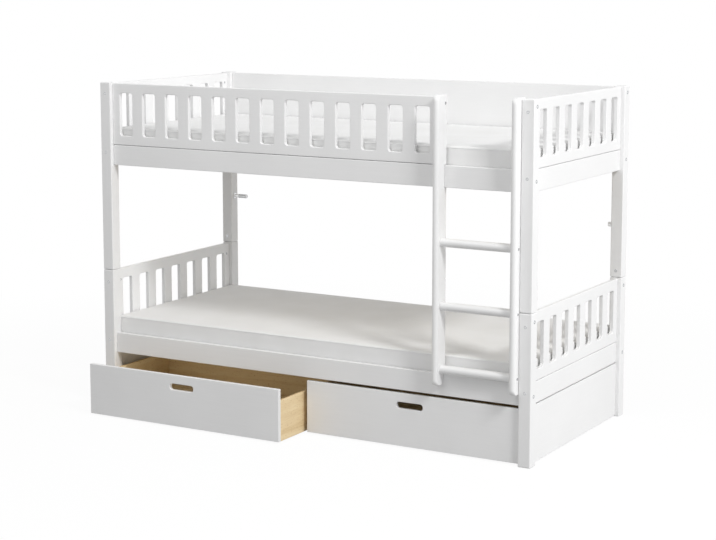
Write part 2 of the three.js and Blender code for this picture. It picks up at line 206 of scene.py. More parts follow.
@dataclass(frozen=True)
class SatinLacquer(Finish):
    """White satin lacquer sprayed on planed softwood boards.

    The eye sees an even white with a soft sheen, in which the grain telegraphs as faint long lines, and
    close up the slight orange peel that spraying leaves.
    """

    slot: ClassVar[Slot] = Slot.WHITE_LACQUER
    along: Axis = Axis.X
    light: str = "#F5F5F5"
    shade: str = "#F0F0F0"
    grain_per_metre: float = 240.0  # early and late wood about 4 mm apart
    peel_per_metre: float = 420.0  # orange peel is about 1 mm, drawn at 2.4 mm so that it shows

    def nodes(self, tree: Tree) -> Node:
        """Builds the lacquer: two near whites, roughness by the same grain, and two fine bumps."""
        place = add_node(tree, "TexCoord").outputs["Object"]
        fine = {"Scale": self.grain_per_metre, "Detail": 3.0, "Distortion": 0.25}
        grain = add_node(tree, "TexNoise", fine, {"Vector": stretched(tree, self.along, 0.035)})
        cloud = add_node(tree, "TexNoise", {"Scale": 3.2, "Detail": 2.0}, {"Vector": place})
        peel = add_node(tree, "TexNoise", {"Scale": self.peel_per_metre, "Detail": 1.0}, {"Vector": place})
        tone = add_node(tree, "Math", {1: 0.45}, {0: grain, 2: cloud}, operation="MULTIPLY_ADD")
        ramp = add_node(tree, "ValToRGB", links={"Fac": tone})
        set_stops(ramp, {0.45: self.shade, 0.95: self.light})
        sheen = {"From Min": 0.3, "From Max": 0.9, "To Min": 0.29, "To Max": 0.37}
        gloss = add_node(tree, "MapRange", sheen, {"Value": tone})
        lines = add_node(tree, "Bump", {"Strength": 0.12, "Distance": 0.0002}, {"Height": grain})
        over = {"Height": peel, "Normal": lines}
        skin = add_node(tree, "Bump", {"Strength": 0.06, "Distance": 0.0002}, over)
        worn = {"Base Color": ramp, "Roughness": gloss, "Normal": skin}
        return add_node(tree, "BsdfPrincipled", {"IOR": 1.5, "Specular IOR Level": 0.5}, worn)


@dataclass(frozen=True)
class BirchPlywood(Finish):
    """Birch plywood, sanded and clear lacquered.

    A warm pale face with fine lines and short brown flecks along the grain. Its edges show the plies
    as light and dark stripes 1.4 mm wide. The edges are where an upright sheet looks up or down, and
    where a flat one looks sideways.
    """

    slot: ClassVar[Slot] = Slot.BIRCH
    along: Axis = Axis.Y
    across: Axis = Axis.X
    flat: bool = False
    light: str = "#F9E5BD"
    middle: str = "#EFD6AA"
    dark: str = "#DEC18E"
    ply: str = "#C7A066"
    ply_pair: float = 2.8 * MM

    def nodes(self, tree: Tree) -> Node:
        """Builds the birch: broad figure, fine fibres, flecks, and plies where the surface is an edge."""
        flow = stretched(tree, self.along, 0.05)
        figure_noise = {"Scale": 26.0, "Detail": 4.0, "Distortion": 0.8}
        broad = add_node(tree, "TexNoise", figure_noise, {"Vector": flow})
        fibre = add_node(tree, "TexNoise", {"Scale": 420.0, "Detail": 2.0}, {"Vector": flow})
        mixed = add_node(tree, "Math", {1: 0.35}, {0: fibre, 2: broad}, operation="MULTIPLY_ADD")
        figure = add_node(tree, "ValToRGB", links={"Fac": mixed})
        set_stops(figure, {0.42: self.dark, 0.64: self.middle, 0.92: self.light})
        short = stretched(tree, self.along, 0.22)
        flecks = add_node(tree, "TexNoise", {"Scale": 300.0, "Detail": 0.0}, {"Vector": short})
        rare = {"From Min": 0.68, "From Max": 0.76, "To Max": 0.45}
        spots = add_node(tree, "MapRange", rare, {"Value": flecks})
        face = add_node(tree, "Mix", {7: linear(self.ply)}, {0: spots, 6: figure}, data_type="RGBA")
        coordinates = add_node(tree, "TexCoord")
        place = add_node(tree, "SeparateXYZ", links={0: coordinates.outputs["Object"]})
        height = place.outputs[self.across.value]
        plies = add_node(tree, "Math", {1: 2 * math.pi / self.ply_pair}, {0: height}, operation="MULTIPLY")
        stripes = add_node(tree, "Math", links={0: plies}, operation="SINE")
        firm = {"From Min": -0.3, "From Max": 0.3, "To Max": 0.6}
        striped = add_node(tree, "MapRange", firm, {"Value": stripes})
        two = {6: linear(self.middle), 7: linear(self.ply)}
        edge = add_node(tree, "Mix", two, {0: striped}, data_type="RGBA")
        facing = add_node(tree, "SeparateXYZ", links={0: coordinates.outputs["Normal"]})
        upward = add_node(tree, "Math", links={0: facing.outputs["Z"]}, operation="ABSOLUTE")
        face_at, edge_at = (0.95, 0.8) if self.flat else (0.8, 0.95)
        is_edge = add_node(tree, "MapRange", {"From Min": face_at, "From Max": edge_at}, {"Value": upward})
        both = {0: is_edge, 6: face.outputs[2], 7: edge.outputs[2]}
        colour = add_node(tree, "Mix", links=both, data_type="RGBA")
        bump = add_node(tree, "Bump", {"Strength": 0.2, "Distance": 0.0003}, {"Height": mixed})
        worn = {"Base Color": colour.outputs[2], "Normal": bump}
        return add_node(tree, "BsdfPrincipled", {"Roughness": 0.5}, worn)


@dataclass(frozen=True)
class PlanedPine(Finish):
    """Planed pine, left bare.

    Pale yellow early wood with darker lines of late wood, wavering along the piece, and now and then a
    red-brown knot.
    """

    slot: ClassVar[Slot] = Slot.PINE
    along: Axis = Axis.Y
    early: str = "#EFDDB6"
    late: str = "#D3AE74"
    knot: str = "#9A6A3C"
    rings_per_metre: float = 130.0

    def nodes(self, tree: Tree) -> Node:
        """Builds the pine: bands bent by noise, knots from sparse cells, and a light bump."""
        flow = stretched(tree, self.along, 0.07)
        bend = add_node(tree, "TexNoise", {"Scale": 14.0, "Detail": 2.0}, {"Vector": flow})
        rings = add_node(tree, "Math", {1: self.rings_per_metre * 0.5}, {0: bend}, operation="MULTIPLY")
        bands = add_node(tree, "Math", {1: 1.0}, {0: rings}, operation="PINGPONG")
        dark = {"From Min": 0.55, "From Max": 1.0, "To Max": 0.75}
        late = add_node(tree, "MapRange", dark, {"Value": bands})
        two = {6: linear(self.early), 7: linear(self.late)}
        wood = add_node(tree, "Mix", two, {0: late}, data_type="RGBA")
        cells = add_node(tree, "TexVoronoi", {"Scale": 9.0}, {"Vector": stretched(tree, self.along, 0.35)})
        rare = {"From Min": 0.05, "From Max": 0.11, "To Min": 0.85, "To Max": 0.0}
        knots = add_node(tree, "MapRange", rare, {"Value": cells.outputs["Distance"]})
        knotty = {0: knots, 6: wood.outputs[2]}
        colour = add_node(tree, "Mix", {7: linear(self.knot)}, knotty, data_type="RGBA")
        bump = add_node(tree, "Bump", {"Strength": 0.15, "Distance": 0.0003}, {"Height": bands})
        worn = {"Base Color": colour.outputs[2], "Normal": bump}
        return add_node(tree, "BsdfPrincipled", {"Roughness": 0.62}, worn)


@dataclass(frozen=True)
class WovenCotton(Finish):
    """A white cotton mattress cover, plainly woven and washed soft.

    It is matt with a faint fuzz at grazing angles, has a fine square weave close up, and gives in long
    shallow undulations over the foam. The threads are about 0.5 mm, drawn at 1.6 mm so that they show.
    """

    slot: ClassVar[Slot] = Slot.MATTRESS_COVER
    cloth: str = "#F6F6F6"
    shade: str = "#F1F1F0"
    threads_per_metre: float = 625.0

    def nodes(self, tree: Tree) -> Node:
        """Builds the cotton: crossing thread waves, soft undulation and a sheen."""
        place = add_node(tree, "TexCoord").outputs["Object"]
        thread = {"Scale": self.threads_per_metre / 10, "Distortion": 0.6, "Detail": 1.0}
        waves = [
            add_node(tree, "TexWave", thread, {"Vector": place}, bands_direction=direction).outputs["Fac"]
            for direction in ("X", "Y", "Z")
        ]
        first = add_node(tree, "Math", links={0: waves[0], 1: waves[1]}, operation="MAXIMUM")
        weave = add_node(tree, "Math", links={0: first, 1: waves[2]}, operation="MAXIMUM")
        soft = add_node(tree, "TexNoise", {"Scale": 7.0, "Detail": 3.0}, {"Vector": place})
        tone = add_node(tree, "MapRange", {"From Min": 0.3, "From Max": 0.75}, {"Value": soft})
        two = {6: linear(self.shade), 7: linear(self.cloth)}
        colour = add_node(tree, "Mix", two, {0: tone}, data_type="RGBA")
        swell = add_node(tree, "Bump", {"Strength": 0.08, "Distance": 0.004}, {"Height": soft})
        threads = {"Height": weave, "Normal": swell}
        bump = add_node(tree, "Bump", {"Strength": 0.18, "Distance": 0.0003}, threads)
        fuzz = {"Roughness": 0.88, "Sheen Weight": 0.25, "Sheen Roughness": 0.6}
        return add_node(tree, "BsdfPrincipled", fuzz, {"Base Color": colour.outputs[2], "Normal": bump})


@dataclass(frozen=True)
class WovenTape(Finish):
    """The polyester tape that spaces the slats: off-white, with ribs across it every 2 mm."""

    slot: ClassVar[Slot] = Slot.MATTRESS_COVER
    yarn: str = "#E9E6DC"
    # Painted shade: the grooves between the ribs get this darker colour, which stands in for the shade that
    # falls in them
    gap: str = "#B9B4A4"

    def nodes(self, tree: Tree) -> Node:
        """Builds the tape: ribs as waves along X, in colour and in bump."""
        place = add_node(tree, "TexCoord").outputs["Object"]
        wave = {"Scale": 50.0, "Distortion": 0.3}
        ribs = add_node(tree, "TexWave", wave, {"Vector": place}, bands_direction="X").outputs["Fac"]
        # The ribs' wave paints shade into the grooves between them as a darker colour, and also drives the
        # bump
        two = {6: linear(self.gap), 7: linear(self.yarn)}
        colour = add_node(tree, "Mix", two, {0: ribs}, data_type="RGBA")
        bump = add_node(tree, "Bump", {"Strength": 0.5, "Distance": 0.0006}, {"Height": ribs})
        worn = {"Base Color": colour.outputs[2], "Normal": bump}
        return add_node(tree, "BsdfPrincipled", {"Roughness": 0.8}, worn)


@dataclass(frozen=True)
class ZincPlatedSteel(Finish):
    """Bright zinc plating on steel: a cool grey metal, a little cloudy, with a soft reflection."""

    slot: ClassVar[Slot] = Slot.STEEL
    metal: str = "#B9BBBD"
    cloud: str = "#A2A5A8"
    roughness: float = 0.34

    def nodes(self, tree: Tree) -> Node:
        """Builds the zinc: a cloudy colour and a roughness that varies with it."""
        place = add_node(tree, "TexCoord").outputs["Object"]
        cloud = add_node(tree, "TexNoise", {"Scale": 160.0, "Detail": 3.0}, {"Vector": place})
        two = {6: linear(self.cloud), 7: linear(self.metal)}
        colour = add_node(tree, "Mix", two, {0: cloud}, data_type="RGBA")
        spread = {"To Min": self.roughness - 0.06, "To Max": self.roughness + 0.08}
        rough = add_node(tree, "MapRange", {"From Min": 0.3, "From Max": 0.7, **spread}, {"Value": cloud})
        worn = {"Base Color": colour.outputs[2], "Roughness": rough}
        return add_node(tree, "BsdfPrincipled", {"Metallic": 1.0}, worn)


@dataclass(frozen=True)
class MouldedPlastic(Finish):
    """Injection-moulded polypropylene: dark grey, satin, with the fine spark-eroded texture of its mould."""

    slot: ClassVar[Slot] = Slot.WHEEL_PLASTIC
    body: str = "#3C3D3F"
    worn: str = "#55565A"

    def nodes(self, tree: Tree) -> Node:
        """Builds the plastic: a slight tone variation and a fine bump."""
        place = add_node(tree, "TexCoord").outputs["Object"]
        tone = add_node(tree, "TexNoise", {"Scale": 90.0, "Detail": 3.0}, {"Vector": place})
        two = {6: linear(self.body), 7: linear(self.worn)}
        colour = add_node(tree, "Mix", two, {0: tone}, data_type="RGBA")
        texture = add_node(tree, "TexNoise", {"Scale": 1400.0, "Detail": 1.0}, {"Vector": place})
        bump = add_node(tree, "Bump", {"Strength": 0.2, "Distance": 0.0002}, {"Height": texture})
        worn = {"Base Color": colour.outputs[2], "Normal": bump}
        return add_node(tree, "BsdfPrincipled", {"Roughness": 0.45}, worn)


LACQUER = {axis: SatinLacquer(f"satin_white_lacquer_grain_{axis.name.lower()}", axis) for axis in Axis}
BIRCH_SIDE = BirchPlywood("birch_plywood_wall", Axis.Y, Axis.X)
BIRCH_BACK = BirchPlywood("birch_plywood_back", Axis.X, Axis.Y)
# The drawers' floors are a paler sheet, which throws its light on the walls and on the rail above
BIRCH_FLOOR = BirchPlywood("birch_plywood_floor", Axis.X, Axis.Z, True, "#FFF5E0", "#FBECD0", "#F0DDBA")
PINE = {axis: PlanedPine(f"planed_pine_grain_{axis.name.lower()}", axis) for axis in Axis}
COTTON = WovenCotton("woven_cotton_cover")
TAPE = WovenTape("woven_slat_tape")
ZINC = ZincPlatedSteel("zinc_plated_steel")
BRIGHT_ZINC = ZincPlatedSteel("bright_zinc_bolt", "#D2D3D4", "#C2C4C6", 0.38)
POLISHED_ZINC = ZincPlatedSteel("polished_zinc_pin", "#F2F2F2", "#E6E7E8", 0.32)
THREADED_ZINC = ZincPlatedSteel("threaded_zinc_sleeve", "#DCDDDE", "#C4C6C8", 0.34)
DULL_STEEL = ZincPlatedSteel("dull_screw_steel", "#8A8B8D", "#76787B", 0.42)
PLASTIC = MouldedPlastic("moulded_polypropylene")


# Surfaces


def surface(x: Any, y: Any, z: Any) -> np.ndarray:
    """Points from three coordinates, each stretched over the grid that they span together."""
    return np.stack(np.broadcast_arrays(x, y, z), -1)


def quarter_turn(steps: int) -> np.ndarray:
    """The angles from zero to a right angle."""
    return np.linspace(0, math.pi / 2, steps + 1)


def four_quarters(steps: int) -> np.ndarray:
    """The angles round a circle, where the end of a quarter and the start of the next are both given."""
    return np.concatenate([quarter_turn(steps) + k * math.pi / 2 for k in range(4)])


def full_turn(steps: int) -> np.ndarray:
    """The angles round a circle, each given once."""
    return np.linspace(0, 2 * math.pi, steps, endpoint=False)


def grid_quads(rows: int, columns: int, wrap: bool = True, closed: bool = False) -> np.ndarray:
    """The faces of a grid of points.

    Args:
        rows: How many rows of points.
        columns: How many points in a row.
        wrap: Whether each row closes on itself.
        closed: Whether the last row joins the first.

    Returns:
        Four point numbers for each face.
    """
    row, column = np.meshgrid(np.arange(rows - 1 + closed), np.arange(columns - 1 + wrap), indexing="ij")
    here, after = row * columns, (row + 1) % rows * columns
    beside = (column + 1) % columns
    return np.stack([here + column, here + beside, after + beside, after + column], -1).reshape(-1, 4)


def box_of(node: str) -> tuple[np.ndarray, np.ndarray]:
    """A node's lowest and highest corners as arrays."""
    low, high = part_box(node)
    return np.array(low, float), np.array(high, float)


def face_of(low: np.ndarray, high: np.ndarray, along: Axis, sign: int) -> float:
    """Where the face of a box lies that looks one way along an axis."""
    return (high if sign > 0 else low)[along.value]


@dataclass
class Shell:
    """The points and faces of one closed piece, or of several, held as arrays.

    Attributes:
        points: The points, one row each.
        quads: Four point numbers for each face.
        caps: Faces with any number of sides, as rows of point numbers.
    """

    points: np.ndarray
    quads: np.ndarray
    caps: list[np.ndarray] = field(default_factory=list)

    @staticmethod
    def sheet(points: np.ndarray, wrap: bool = True, closed: bool = False) -> "Shell":
        """The faces between the points of a grid.

        Args:
            points: The points by row and column.
            wrap: Whether each row closes on itself.
            closed: Whether the last row joins the first.

        Returns:
            The shell, without caps.
        """
        rows, columns = points.shape[:2]
        return Shell(points.reshape(-1, 3), grid_quads(rows, columns, wrap, closed))

    @staticmethod
    def joined(shells: list["Shell"]) -> "Shell":
        """Several shells as one.

        Args:
            shells: The shells, in any number.

        Returns:
            One shell that holds them all.
        """
        starts = np.cumsum([0] + [len(s.points) for s in shells])
        return Shell(
            np.vstack([s.points for s in shells]),
            np.vstack([s.quads + start for s, start in zip(shells, starts)]),
            [cap + start for s, start in zip(shells, starts) for cap in s.caps],
        )

    def moved(self, place: Any) -> "Shell":
        """The same shell, moved."""
        return Shell(self.points + np.array(place), self.quads, self.caps)

    def crossed(self) -> "Shell":
        """The same shell with X and Y exchanged."""
        return Shell(self.points[:, [1, 0, 2]], self.quads, self.caps)

    def piece(
        self,
        name: str,
        finish: Finish,
        body: str = BED,
        replaced: tuple[str, ...] = (),
        weighted: bool = True,
        bevel: float = 0.0,
    ) -> bpy.types.Object:
        """Makes the Blender object, with its doubles merged and its faces turned outwards.

        Args:
            name: The piece's name.
            finish: What it wears, which also has the record's material slot.
            body: The body of the frame that carries it.
            replaced: The frame's nodes that it stands for.
            weighted: Whether flat faces keep their normals flat up to the eased edges.
            bevel: How far edges that are still sharp are eased.

        Returns:
            The object, at the origin.
        """
        mesh = bpy.data.meshes.new(name)
        faces = self.quads.tolist() + [cap.tolist() for cap in self.caps]
        mesh.from_pydata(self.points.tolist(), [], faces)
        work = bmesh.new()
        work.from_mesh(mesh)
        bmesh.ops.remove_doubles(work, verts=work.verts, dist=MERGED)
        bmesh.ops.dissolve_degenerate(work, dist=DEGENERATE, edges=work.edges)
        bmesh.ops.recalc_face_normals(work, faces=work.faces)
        work.to_mesh(mesh)
        work.free()
        mesh.shade_smooth()
        if not bevel:
            mesh.set_sharp_from_angle(angle=SHARP)
        made = bpy.data.objects.new(name, mesh)
        bpy.context.scene.collection.objects.link(made)
        made.data.materials.append(finish.material())
        if bevel:
            eased = made.modifiers.new("sharp_edges_eased", "BEVEL")
            eased.width, eased.segments = bevel, 2
            eased.limit_method, eased.angle_limit = "ANGLE", SHARP
        if weighted:
            kept = made.modifiers.new("flat_faces_stay_flat", "WEIGHTED_NORMAL")
            kept.weight = 100
            kept.keep_sharp = True
        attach(made, body)
        if replaced:
            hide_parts(*replaced)
        return made

    def dress(self, node: str, finish: Finish, body: str = BED, **looks: Any) -> bpy.types.Object:
        """Makes the piece that stands for one node."""
        return self.piece(f"{node}_dressed", finish, body, (node,), **looks)


def eased_block(low: Any, high: Any, radius: float, steps: int = 3) -> Shell:
    """A block whose edges and corners are rounded.

    It is a ball cut in eight, each eighth moved out to its corner: a point is radius times the unit
    vector of its two angles, plus the corner's centre. The flat faces lie between the eighths.

    Args:
        low: The lowest corner.
        high: The highest corner.
        radius: The radius of the edges.
        steps: Faces in each quarter turn.

    Returns:
        The closed block.
    """
    low, high = np.array(low), np.array(high)
    middle, half = (low + high) / 2, (high - low) / 2
    r = min(radius, half.min() * 0.98)  # a thin block keeps a flat between its rounded edges
    flat = half - r
    turn = four_quarters(steps)
    level = np.concatenate([quarter_turn(steps) - math.pi / 2, quarter_turn(steps)])[:, None]
    x = r * np.cos(level) * np.cos(turn) + np.repeat([1, -1, -1, 1], steps + 1) * flat[0]
    y = r * np.cos(level) * np.sin(turn) + np.repeat([1, 1, -1, -1], steps + 1) * flat[1]
    z = r * np.sin(level) + np.repeat([-1, 1], steps + 1)[:, None] * flat[2]
    block = Shell.sheet(surface(x, y, z) + middle)
    corners = np.arange(0, len(turn), steps + 1)
    block.caps = [corners[::-1], corners + (len(level) - 1) * len(turn)]
    return block


def ringed(radii: np.ndarray, distance: np.ndarray, along: Axis, start: np.ndarray) -> Shell:
    """A closed form about an axis, made of rings of points.

    Args:
        radii: How far each point lies from the axis, with a row for each ring.
        distance: How far along the axis each ring lies.
        along: The axis's direction, X or Y.
        start: The point on the axis from which the distances count.

    Returns:
        The form with a cap at each end.
    """
    turn = full_turn(radii.shape[1])
    points = surface(distance[:, None], radii * np.cos(turn), radii * np.sin(turn))
    form = Shell.sheet(points[..., {Axis.X: [0, 1, 2], Axis.Y: [2, 0, 1]}[along]] + start)
    end = np.arange(len(turn))
    form.caps = [end[::-1], end + (len(radii) - 1) * len(turn)]
    return form


def turned_rod(profile: np.ndarray, start: np.ndarray, sides: int = 32) -> Shell:
    """A round form about an axis along X: each profile point sweeps a full circle.

    Args:
        profile: Rows of radius and distance along the axis, from end to end.
        start: The point on the axis from which the distances count.
        sides: How many faces go round it.

    Returns:
        The closed form.
    """
    radius = np.maximum(profile[:, :1], 1e-5)  # a closed end keeps a hair's width for its cap
    return ringed(np.repeat(radius, sides, 1), profile[:, 1], Axis.X, start)


@dataclass
class SlottedBoard:
    """A flat board with a row of round-cornered slots through it, all its edges eased.

    The board is drawn with its length along the first axis, its thickness along the second and its
    height along the third. Each slot has a cell of the face round it. A ring of points follows the
    cell's border, the next ones the slot's outline as it rounds over the face's edge, the wall and the
    far edge, and the last one the cell's border on the far face.

    Attributes:
        length: The board's length.
        height: The board's height.
        thickness: The board's thickness.
        slots: The left and right end of each slot.
        low: The bottom of the slots.
        high: The top of the slots.
        corner: The radius of the slots' corners.
        ease: The radius of the eased edges.
        corner_steps: Faces in each corner of a slot.
        ease_steps: Faces in each eased edge.
    """

    length: float
    height: float
    thickness: float
    slots: list[tuple[float, float]]
    low: float
    high: float
    corner: float
    ease: float
    corner_steps: int = 8
    ease_steps: int = 3

    def shell(self) -> Shell:
        """Returns the closed board with its lowest corner at zero."""
        middles = [(a[1] + b[0]) / 2 for a, b in zip(self.slots, self.slots[1:])]
        borders = [self.ease, *middles, self.length - self.ease]
        cells = [self._cell(borders[k], borders[k + 1], *slot) for k, slot in enumerate(self.slots)]
        rim = np.vstack([cell.points[: 4 * (self.corner_steps + 1)] for cell in cells])
        return Shell.joined([*cells, self._edge(rim)])

    def _over(self) -> tuple[np.ndarray, np.ndarray]:
        """How an eased edge runs from the near face to the far one.

        Returns:
            The sine of the edge's turn at each step, and the depth below the near face.
        """
        turn = quarter_turn(self.ease_steps)
        fall = self.ease * (1 - np.cos(turn))
        return np.sin([*turn, *turn[::-1]]), np.array([*fall, *(self.thickness - fall[::-1])])

    def _cell(self, left: float, right: float, start: float, end: float) -> Shell:
        """One slot with the part of both faces round it.

        Args:
            left: The cell's left border.
            right: The cell's right border.
            start: The slot's left end.
            end: The slot's right end.

        Returns:
            The open strip of faces from border to border.
        """
        first_x, last_x = start + self.corner, end - self.corner
        first_z, last_z = self.low + self.corner, self.high - self.corner
        centres = [(last_x, last_z), (first_x, last_z), (first_x, first_z), (last_x, first_z)]
        bottom, top = self.ease, self.height - self.ease
        share = np.linspace(0, 2, self.corner_steps + 1)
        first, second = np.clip(share, 0, 1), np.clip(share - 1, 0, 1)
        border = []
        for k, (x, z) in enumerate([(right, top), (left, top), (left, bottom), (right, bottom)]):
            beside, above = (x, centres[k][1]), (centres[k][0], z)
            begins, ends = (beside, above) if k % 2 == 0 else (above, beside)
            along_x = begins[0] + (x - begins[0]) * first + (ends[0] - x) * second
            along_z = begins[1] + (z - begins[1]) * first + (ends[1] - z) * second
            border.append(surface(along_x, 0.0, along_z))
        near = np.vstack(border)
        far = near + np.array([0, self.thickness, 0])
        sine, depth = self._over()
        radius = self.corner + self.ease * (1 - sine)[:, None]
        turn = four_quarters(self.corner_steps)
        centre_x, centre_z = np.repeat(centres, self.corner_steps + 1, 0).T
        wall = surface(centre_x + radius * np.cos(turn), depth[:, None], centre_z + radius * np.sin(turn))
        return Shell.sheet(np.concatenate([near[None], wall, far[None]]))

    def _edge(self, rim: np.ndarray) -> Shell:
        """The board's outer edge: a quarter round carried along the faces' border, on both faces.

        Args:
            rim: Every border point of the cells on the near face.

        Returns:
            The open strip of faces from the near face to the far one.
        """
        left, right = self.ease, self.length - self.ease
        bottom, top = self.ease, self.height - self.ease
        x, z = np.round(rim[:, 0], 9), np.round(rim[:, 2], 9)
        on_bottom, on_top = (np.unique(x[np.abs(z - level) < 1e-7]) for level in (bottom, top))
        on_left, on_right = (np.unique(z[np.abs(x - end) < 1e-7]) for end in (left, right))
        runs = [(on_bottom, bottom), (right, on_right), (on_top[::-1], top), (left, on_left[::-1])]
        base, facing = [], []
        for k, (run_x, run_z) in enumerate(runs):
            angle = (k - 1) * math.pi / 2
            run = np.stack(np.broadcast_arrays(run_x, run_z), -1)
            corner = np.linspace(angle, angle + math.pi / 2, self.ease_steps + 1)[1:-1]
            base += [run, np.repeat(run[-1:], len(corner), 0)]
            facing += [np.full(len(run), angle), corner]
        place, angle = np.vstack(base), np.concatenate(facing)
        sine, depth = self._over()
        out = self.ease * sine[:, None]
        out_x, out_z = place[:, 0] + out * np.cos(angle), place[:, 1] + out * np.sin(angle)
        return Shell.sheet(surface(out_x, depth[:, None], out_z))


# The bed's sub-assemblies


@dataclass
class Boards:
    """The posts and all plain boards, lacquered white with eased edges.

    Attributes:
        post_ease: The radius along the posts' edges.
        board_ease: The radius along the boards' edges.
        rail_gap: The shadow gap over an upper rail.
        base_gap: The wider one between a base board and the rail above it.
        base_ease: The radius along the base boards' edges.
        post_gap: The hairline in the joint of a post.
    """

    post_ease: float = 4.6 * MM
    board_ease: float = 3.0 * MM
    rail_gap: float = 1.4 * MM
    base_gap: float = 4.6 * MM
    base_ease: float = 1.6 * MM
    post_gap: float = 0.6 * MM

    def build(self) -> None:
        """Makes the posts and the plain boards."""
        for level in Level:
            upper = level is Level.UPPER
            for depth in DEPTHS:
                for side in Side:
                    joint = 0.0 if upper else self.post_gap
                    self._block(f"{level.value}_post_{depth}_{side.value}", Axis.Z, self.post_ease, joint)
                gap = self.rail_gap if upper else 0.0
                self._block(f"{level.value}_rail_{depth}", Axis.X, self.board_ease, gap)
            for side in Side:
                self._block(f"{level.value}_end_rail_{side.value}", Axis.Y, self.board_ease, self.rail_gap)
        for side in Side:
            self._block(f"base_board_{side.value}", Axis.Y, self.base_ease, self.base_gap)
            for depth in DEPTHS:
                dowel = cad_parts[f"post_dowel_{depth}_{side.value}"].data.materials
                dowel.clear()
                dowel.append(PINE[Axis.Z].material())
        self._block("guard_board_back", Axis.X, self.board_ease)

    def _block(self, node: str, grain: Axis, ease: float, gap: float = 0.0) -> None:
        """Makes one plain board.

        Args:
            node: The node that it stands for.
            grain: The direction of its grain.
            ease: The radius of its edges.
            gap: How far its top stays below the board above.
        """
        low, high = box_of(node)
        high[2] -= gap
        eased_block(low, high, ease).dress(node, LACQUER[grain])
        log.info("board %s", node)


@dataclass
class SlottedPanels:
    """The slotted guard at the front and the four slotted end panels.

    Attributes:
        margin: From a panel's end to its first slot.
        bar: The width of the bars between the slots.
        slot_height: The height of the slots.
        corner: The radius of the slots' corners.
        ease: The radius of all edges.
        guard_slots: The number of slots in the guard.
        end_slots: The number of slots in an end panel.
    """

    margin: float = 38.65 * MM
    bar: float = 55.4 * MM
    slot_height: float = 188 * MM
    corner: float = 11 * MM
    ease: float = 3 * MM
    guard_slots: int = 13
    end_slots: int = 7

    def build(self) -> None:
        """Makes the five panels."""
        self._panel("guard_panel_front", Axis.X, self.guard_slots)
        for level in Level:
            for side in Side:
                self._panel(f"{level.value}_end_panel_{side.value}", Axis.Y, self.end_slots)

    def _panel(self, node: str, along: Axis, count: int) -> None:
        """Makes one panel.

        Args:
            node: The node that it stands for.
            along: The direction in which the slots follow each other.
            count: The number of slots.
        """
        low, high = box_of(node)
        size = high - low
        length, height, thickness = size[along.value], size[2], size[1 - along.value]
        width = (length - 2 * self.margin - (count - 1) * self.bar) / count
        slots = [(left, left + width) for left in self.margin + np.arange(count) * (width + self.bar)]
        bottom = (height - self.slot_height) / 2
        top = bottom + self.slot_height
        board = SlottedBoard(length, height, thickness, slots, bottom, top, self.corner, self.ease).shell()
        if along is Axis.Y:
            board = board.crossed()
        board.moved(low).dress(node, LACQUER[along])
        log.info("panel %s with %d slots", node, count)


